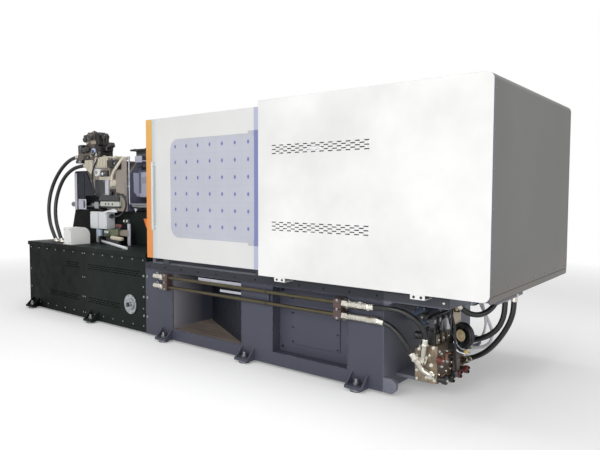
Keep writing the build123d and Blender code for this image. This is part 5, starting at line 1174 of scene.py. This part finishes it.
def dress_pipes():
    """Pipes: collars, clamp bolts and fittings."""
    pipes = Piece("pipe_details", ROOT, "pipe_bronze")
    for x in (-205, 1865):
        for z in (602.5, 671, 534):
            pipes.bolt((x, -895, z), REAR, 9)
        pipes.box((x - 33, -899, 598), (x + 33, -894, 607), "bolt_black", 1)
    pipes.box((1110, -854, 540), (1130, -831, 665), "bed_grey", 3)
    for name in ("upper_pipe_hose", "lower_pipe_hose"):
        end, y, z = HOSE_ROUTES[name][-1][0]
        pipes.rod((1106, y, z), (1134, y, z), 18.5, "stack_seam", 16)
        for x in (1978, 2020, end - 22):
            pipes.turned((x, y, z), END, [(-8, 25), (-8, 28), (8, 28), (8, 25)], "fitting_zinc", 20)
        for x, size in ((1906, 37), (-306, 35)):
            nut = [(0, size - 3), (3, size), (46, size), (49, size - 3)]
            pipes.turned((x, y, z), END, nut, "fitting_zinc", 6)
        pipes.turned((-390, -834, z), REAR, [(-4, 36), (6, 36), (8, 33)], "bolt_zinc", 6)
    pipes.finish()


def weld(bed, route, radius=3.5):
    """Bead of weld along a route."""
    bed.tube(route, radius, "bed_grey", 6, 2)


def pad_stud(piece, x, y):
    """Threads, a second nut and a washer on the stud of a levelling pad."""
    piece.turned((x, y, 64), UP, [(0, 26), (3, 26)], "bolt_zinc", 18)
    for level in range(6):
        piece.turned((x, y, 70 + 4 * level), UP, [(0, 14), (1.5, 15.6), (3, 14)], "bolt_zinc", 14)
    piece.turned((x, y, 0.5), UP, [(0, 50), (4, 50), (5, 47)], "bolt_black", 22)


def dress_bed():
    """Clamp bed: weld beads, pads, bolts, and strips of painted light in the drop bay."""
    bed = Piece("bed_details", ROOT, "bed_grey")
    face = BED_FACE
    for x0, x1, z in ((-588, 2240, 700), (-160, 790, 130), (1155, 1925, 130)):
        weld(bed, [(x, face, z - BEAD_WAVE * (-1) ** k) for k, x in enumerate(spread(x0, x1, 13))])
    for x in (-160, 790, 1155, 1925):
        weld(bed, [(x - BEAD_WAVE * (-1) ** k, face, z) for k, z in enumerate(spread(134, 696, 11))])
    for x in (x + half for x in BED_PADS for half in (-72, 72)):
        weld(bed, [(x, face - 1, z) for z in (46, 90, 128)], 5)
        weld(bed, [(x, face - out, 46) for out in (1, 46, 86)], 5)
    for side in (-1, 1):
        for x, y in (*product(BED_PADS, (880,)), *product(CABINET_PADS, (869,))):
            pad_stud(bed, x, side * y)
    # Pale strips in the drop bay: painted light seen through the machine, with dark blocks in the chute's
    # painted shade at their left ends
    bed.boxes("strip_light", [
        ((215, -829, 655), (792, -821, 684), 1), ((512, -829, 579), (792, -821, 602), 1)
    ])
    bed.boxes("chute_dark", [
        ((216, -826, 680), (236, -822, 702), 1), ((514, -825, 598), (534, -822, 660), 1)
    ])
    bed.rear_screws(face, 7, product(spread(-520, 2180, 12), (735,)), "bolt_black")
    for z in (200, 400, 620):
        bed.bolt((-560, face, z), REAR, 11)
        bed.bolt((-620, face - 1, z), REAR, 11)
    for x, z in product((1190, 1890), (170, 660)):
        bed.bolt((x, -731, z), REAR, 9, "bolt_black")
    bed.box((1290, -741, 210), (1790, -729, 620), "bed_grey", 3)
    bed.rear_screws(-741, 7, product((1310, 1770), spread(230, 600, 4)), "bolt_black")
    lug = [(-2, 57), (4, 57), (6, 54), (6, 28), (2, 24)]
    bed.turnings("bed_grey", 32, [((2295, face, 75), REAR, lug), ((2295, -face, 75), FRONT, lug)])
    bed.finish()


def dress_cabinet():
    """Injection bed: screws, seams and the filler port."""
    cabinet = Piece("cabinet_details", ROOT, "cabinet_dark")
    face = -820
    for x0, x1 in ((-3020, -1781), (-1769, -632)):
        rows = product(spread(x0 + 16, x1 - 16, 7), (84, 781))
        sides = product((x0 + 14, x1 - 14), (270, 500))
        for x, z in (*rows, *sides):
            cabinet.turned((x, face, z), REAR, [(-1, 8), (2.5, 8), (4, 5)], "bolt_zinc", 14)
    for x0, x1 in ((-2960, -2700), (-1740, -1700), (-700, -660)):
        cabinet.box((x0, face - 3, 420), (x1, face + 1, 436), "cabinet_dark", 1)
    for x in (-2700, -2100, -1500, -900):
        cabinet.box((x - 1.2, -833, 811), (x + 1.2, -831, DECK_TOP), "stack_seam", 0.5)
        cabinet.box((x - 1.2, -820, DECK_TOP - 1), (x + 1.2, 820, DECK_TOP + 0.6), "stack_seam", 0.4)
    x, z = FILLER_PORT
    cabinet.rear_screws(-831, 7, around(x, z, 94, 8, 22))
    cabinet.turned((x, -842, z), REAR, [(0, 66), (3, 66), (4, 62), (4, 44), (1, 42)], "stainless", 40)
    cabinet.turned((x, -853, z), REAR, [(0, 22), (4, 26), (12, 26), (16, 20)], "coil_black", 24)
    for hole_x, hole_z in around(x, z, 55, 10):
        cabinet.rod((hole_x, -842, hole_z), (hole_x, -848, hole_z), 5, "bolt_black", 10)
    for side in (-1, 1):
        for x in spread(-2760, -680, 6):
            cabinet.bolt((x, side * 290, 900), (0, side, 0), 10, "bolt_black")
    cabinet.finish()


def dress_deck():
    """Loose things on the deck about the injection unit."""
    deck = Piece("deck_details", ROOT, "terminal_white")
    start, end = Vector((-2400, -255, 873)), Vector((-1061, -732, 873))
    deck.rod(start, end, 17, "terminal_white", 16, 3)
    for share in (0.2, 0.6, 0.95):
        x, y, _ = start.lerp(end, share)
        deck.box((x - 12, y - 26, 854), (x + 12, y + 26, 864), "bolt_zinc", 2, -19.6, "Z")
    deck.turned((-2048, -428, 944), UP, [(0, 34), (4, 40), (70, 40), (76, 34), (80, 20)], "bottle_pale", 24)
    deck.rod((-2048, -428, DECK_TOP), (-2048, -428, 946), 16, "coil_black", 14)
    deck.rod((-1860, -470, 1000), (-1780, -470, 996), 24, "plate_light", 18, 4)
    deck.boxes("plate_dark", [
        ((-1900, -440, DECK_TOP), (-1680, -410, 960), 6), ((-1690, -440, 1036), (-1600, -420, 1070), 5),
        ((-1700, -490, DECK_TOP), (-1560, -456, 920), 5), ((-1580, -404, 1120), (-1470, -392, 1170), 4),
        ((-760, -604, DECK_TOP), (-720, -590, 1210), 4),
    ])
    deck.box((-1930, -452, 956), (-1640, -424, 1036), "olive_cover", 10, -4)
    deck.box((-1690, -450, 1068), (-1570, -420, 1106), "knob_red", 8)
    deck.box((-1724, -500, 918), (-1506, -452, 960), "post_beige", 10, 3)
    deck.box((-1668, -416, 964), (-1470, -396, 1040), "taupe_cast", 8)
    deck.box((-1504, -408, DECK_TOP), (-1458, -388, 1116), "strip_light", 4)
    for x in (-1560, -1500):
        deck.bolt((x, -408, 1146), REAR, 12, "bolt_bright")
    for outline in (
        [(-918, 1201), (-700, 1205), (-700, 1104), (-869, 1102)],
        [(-850, 1051), (-700, 1053), (-700, 1018), (-830, 1018)],
    ):
        deck.plate(outline, "Y", -606, -598, "orange_sheet")
    deck.finish()
    hood = Piece("hood_details", ROOT, "hood_white")
    hood.rear_screws(-800, 6, product((-2222, -2096), (880, 1040)))
    hood.box((-2244, -806, DECK_TOP), (-2074, -798, 868), "hood_white", 2)
    hood.finish()
    box = Piece("terminal_details", ROOT, "terminal_white")
    box.box((-2262, -424, 1044), (-1903, -418, 1238), "terminal_white", 2)
    box.box((-2084, -426, 1044), (-2080, -422, 1238), "stack_seam", 0.6)
    box.rear_screws(-424, 6, product((-2244, -1921), (1060, 1222)))
    box.plate([(-2002, 1246), (-1752, 1290), (-1700, 1272), (-1700, 1246)],
              "Y", -416, -408, "terminal_white")
    box.turned((-1905, -360, 1192), END, [(-1, 26), (20, 26), (24, 20), (40, 20)], "coil_black", 18)
    box.finish()


def dress_gate(side, body, name):
    """Gate: screws, studs on its inner side along the window, and the feet of its handle."""
    gate = Piece(name, body, "gate_white")
    face = side * 893
    back = face - side * 12
    out = (0, side, 0)
    for z, rise, way in ((1150, 1128, DOWN), (1765, 1787, UP)):
        gate.turned((-335, face, z), out, [(-1, 20), (3, 20), (5, 15), (8, 12)], "gate_white", 20)
        gate.turned((-335, side * 929, rise), way, [(-4, 11), (0, 12.5), (3, 12.5), (5, 8)],
                    "gate_white", 18)
    for x, z in product((-452, -402), (900, 1240, 1820, 2150)):
        gate.cap_screw((x, face, z), out, 5, "edge_orange")
    for x, z in product((-340, -270), (870, 2180)):
        gate.cap_screw((x, face, z), out, 6, "gate_white")
    for x, z in product(spread(-90, 1025, 6), (1045, 2013)):
        gate.rod((x, back, z), (x, back + side * 2, z), 7, "bolt_zinc", 12, 0.5)
    gate.finish()


def dress_cover():
    """Fixed cover: folded edges, screws and the holes of its tabs."""
    cover = Piece("cover_details", ROOT, "cover_white")
    cover.box((3048, -948.5, 850), (3066, -944, 2203), "edge_purple", 1.2)
    cover.plate([
        (-944, 832), (-944, 812), (-938, 798), (-925, 789), (925, 789), (938, 798), (944, 812), (944, 832)
    ], "X", 3054, 3064.6, "cover_grey")
    edges = product((-925, 925), spread(900, 2150, 6))
    foot = product(spread(-880, 880, 7), (866,))
    for y, z in (*edges, *foot):
        cover.cap_screw((3065.2, y, z), END, 4.5)
    for x, y in product((1119, 1900, 2900), (-925, 925)):
        cover.cap_screw((x, y, 2253), UP, 5)
    for x, side in product((1302.5, 1357.5, 2537.5, 2592.5), (-1, 1)):
        cover.turned((x, side * 947, 783), (0, side, 0), [(0, 10), (2, 10), (2, 6), (1, 6)],
                     "coil_black", 16)
    cover.rod((2705, -833, 742), (2712, -840, 742), 9, "bolt_bright", 12, 1)
    cover.finish()


def dress_control_panel():
    """Control panel: screen, keys and screws on the leaning face."""
    panel = Piece("panel_details", ROOT, "panel_grey")
    tilt = radians(PANEL_TILT)
    spin = Matrix.Rotation(tilt, 3, "X")
    corner = Vector((-870, 900, 1290))

    def slab(x, rise, width, height, low, high, look):
        half = Vector((width / 2, 0, height / 2))
        points, faces = cut_box(Vector((x, low, rise)) - half, Vector((x, high, rise)) + half, 2)
        panel.add([corner + spin @ Vector(point) for point in points], faces, look)

    slab(0, 430, 296, 226, -6, -3, "screen_dark")
    slab(0, 430, 268, 198, -3, -2, "screen_glow")
    slab(0, 556, 330, 14, -1, 4, "panel_grey")
    for row, column in product(range(5), range(7)):
        slab(-140 + 30 * column, 96 + 36 * row, 22, 26, -3, 2, "key_pale")
    for x, rise in product((-198, 198), (24, 590)):
        panel.cap_screw(corner + spin @ Vector((x, 0, rise)), spin @ Vector(FRONT), 6)
    panel.finish()


dress_valve_stack()
dress_housing()
dress_throat()
dress_motor_cover()
dress_manifold()
dress_valves()
dress_filter()
dress_post()
dress_cable_ends()
dress_cooler()
dress_hose_ends()
dress_pipes()
dress_bed()
dress_cabinet()
dress_deck()
dress_gate(-1, "rear_gate", "rear_gate_details")
dress_gate(1, "operator_gate", "operator_gate_details")
dress_cover()
dress_control_panel()


# Floor, lamps and backdrop. The floor turns white between two distances from the machine, and
# the camera sees it a little lighter than it is lit
FLOOR_FADE = (5.0, 9.0)
FLOOR_TONE = (0.86, 0.86, 0.86, 1)
FLOOR_LIFT = 0.22
WHITE = (1, 1, 1, 1)
WORLD_LIGHT = 0.4


def make_floor():
    plane = bmesh.new()
    bmesh.ops.create_grid(plane, x_segments=1, y_segments=1, size=40)
    data = bpy.data.meshes.new("floor")
    plane.to_mesh(data)
    plane.free()
    look = Look("floor_pale", roughness=0.9)
    look.shader.inputs["Base Color"].default_value = FLOOR_TONE
    look.shader.inputs["Emission Color"].default_value = WHITE
    distance = look.node("ShaderNodeVectorMath", operation="LENGTH")
    look.link(look.coordinates, distance.inputs[0])
    far = look.between(distance.outputs["Value"], *FLOOR_FADE)
    seen = look.seen()
    look.link(look.both(seen, FLOOR_LIFT), look.shader.inputs["Emission Strength"])
    share = look.node("ShaderNodeMixShader")
    look.link(look.both(far, seen), share.inputs["Fac"])
    look.link(look.shader.outputs[0], share.inputs[1])
    look.link(look.node("ShaderNodeEmission").outputs[0], share.inputs[2])
    look.link(share.outputs[0], look.tree.nodes["Material Output"].inputs["Surface"])
    data.materials.append(look.material)
    show("floor", data)


def make_world():
    world = bpy.data.worlds.new("studio")
    world.use_nodes = True
    bpy.context.scene.world = world
    tree = Tree(world.node_tree)
    background = tree.tree.nodes["Background"]
    background.inputs["Color"].default_value = WHITE
    tree.link(tree.between(tree.seen(), 0.0, 1.0, WORLD_LIGHT), background.inputs["Strength"])


def make_lamp(name, place, target, size, power):
    lamp = bpy.data.lights.new(name, "AREA")
    lamp.shape = "RECTANGLE"
    lamp.size, lamp.size_y = size
    lamp.energy = power
    holder = show(name, lamp)
    holder.location = place
    holder.rotation_euler = (Vector(target) - Vector(place)).to_track_quat("-Z", "Y").to_euler()


make_floor()
make_world()
make_lamp("key", (1.8, -8.0, 4.2), (0, 0, 0.9), (5, 3), 225)
make_lamp("fill", (4.2, -6.0, 0.6), (0.8, -0.8, 0.5), (4, 1), 60)
make_lamp("over", (0, 0, 6.5), (0, 0, 0), (8, 4), 190)
make_lamp("end", (8.0, -1.0, 3.5), (3, 0, 1.2), (3, 3), 60)

bpy.context.scene.view_settings.view_transform = "Standard"
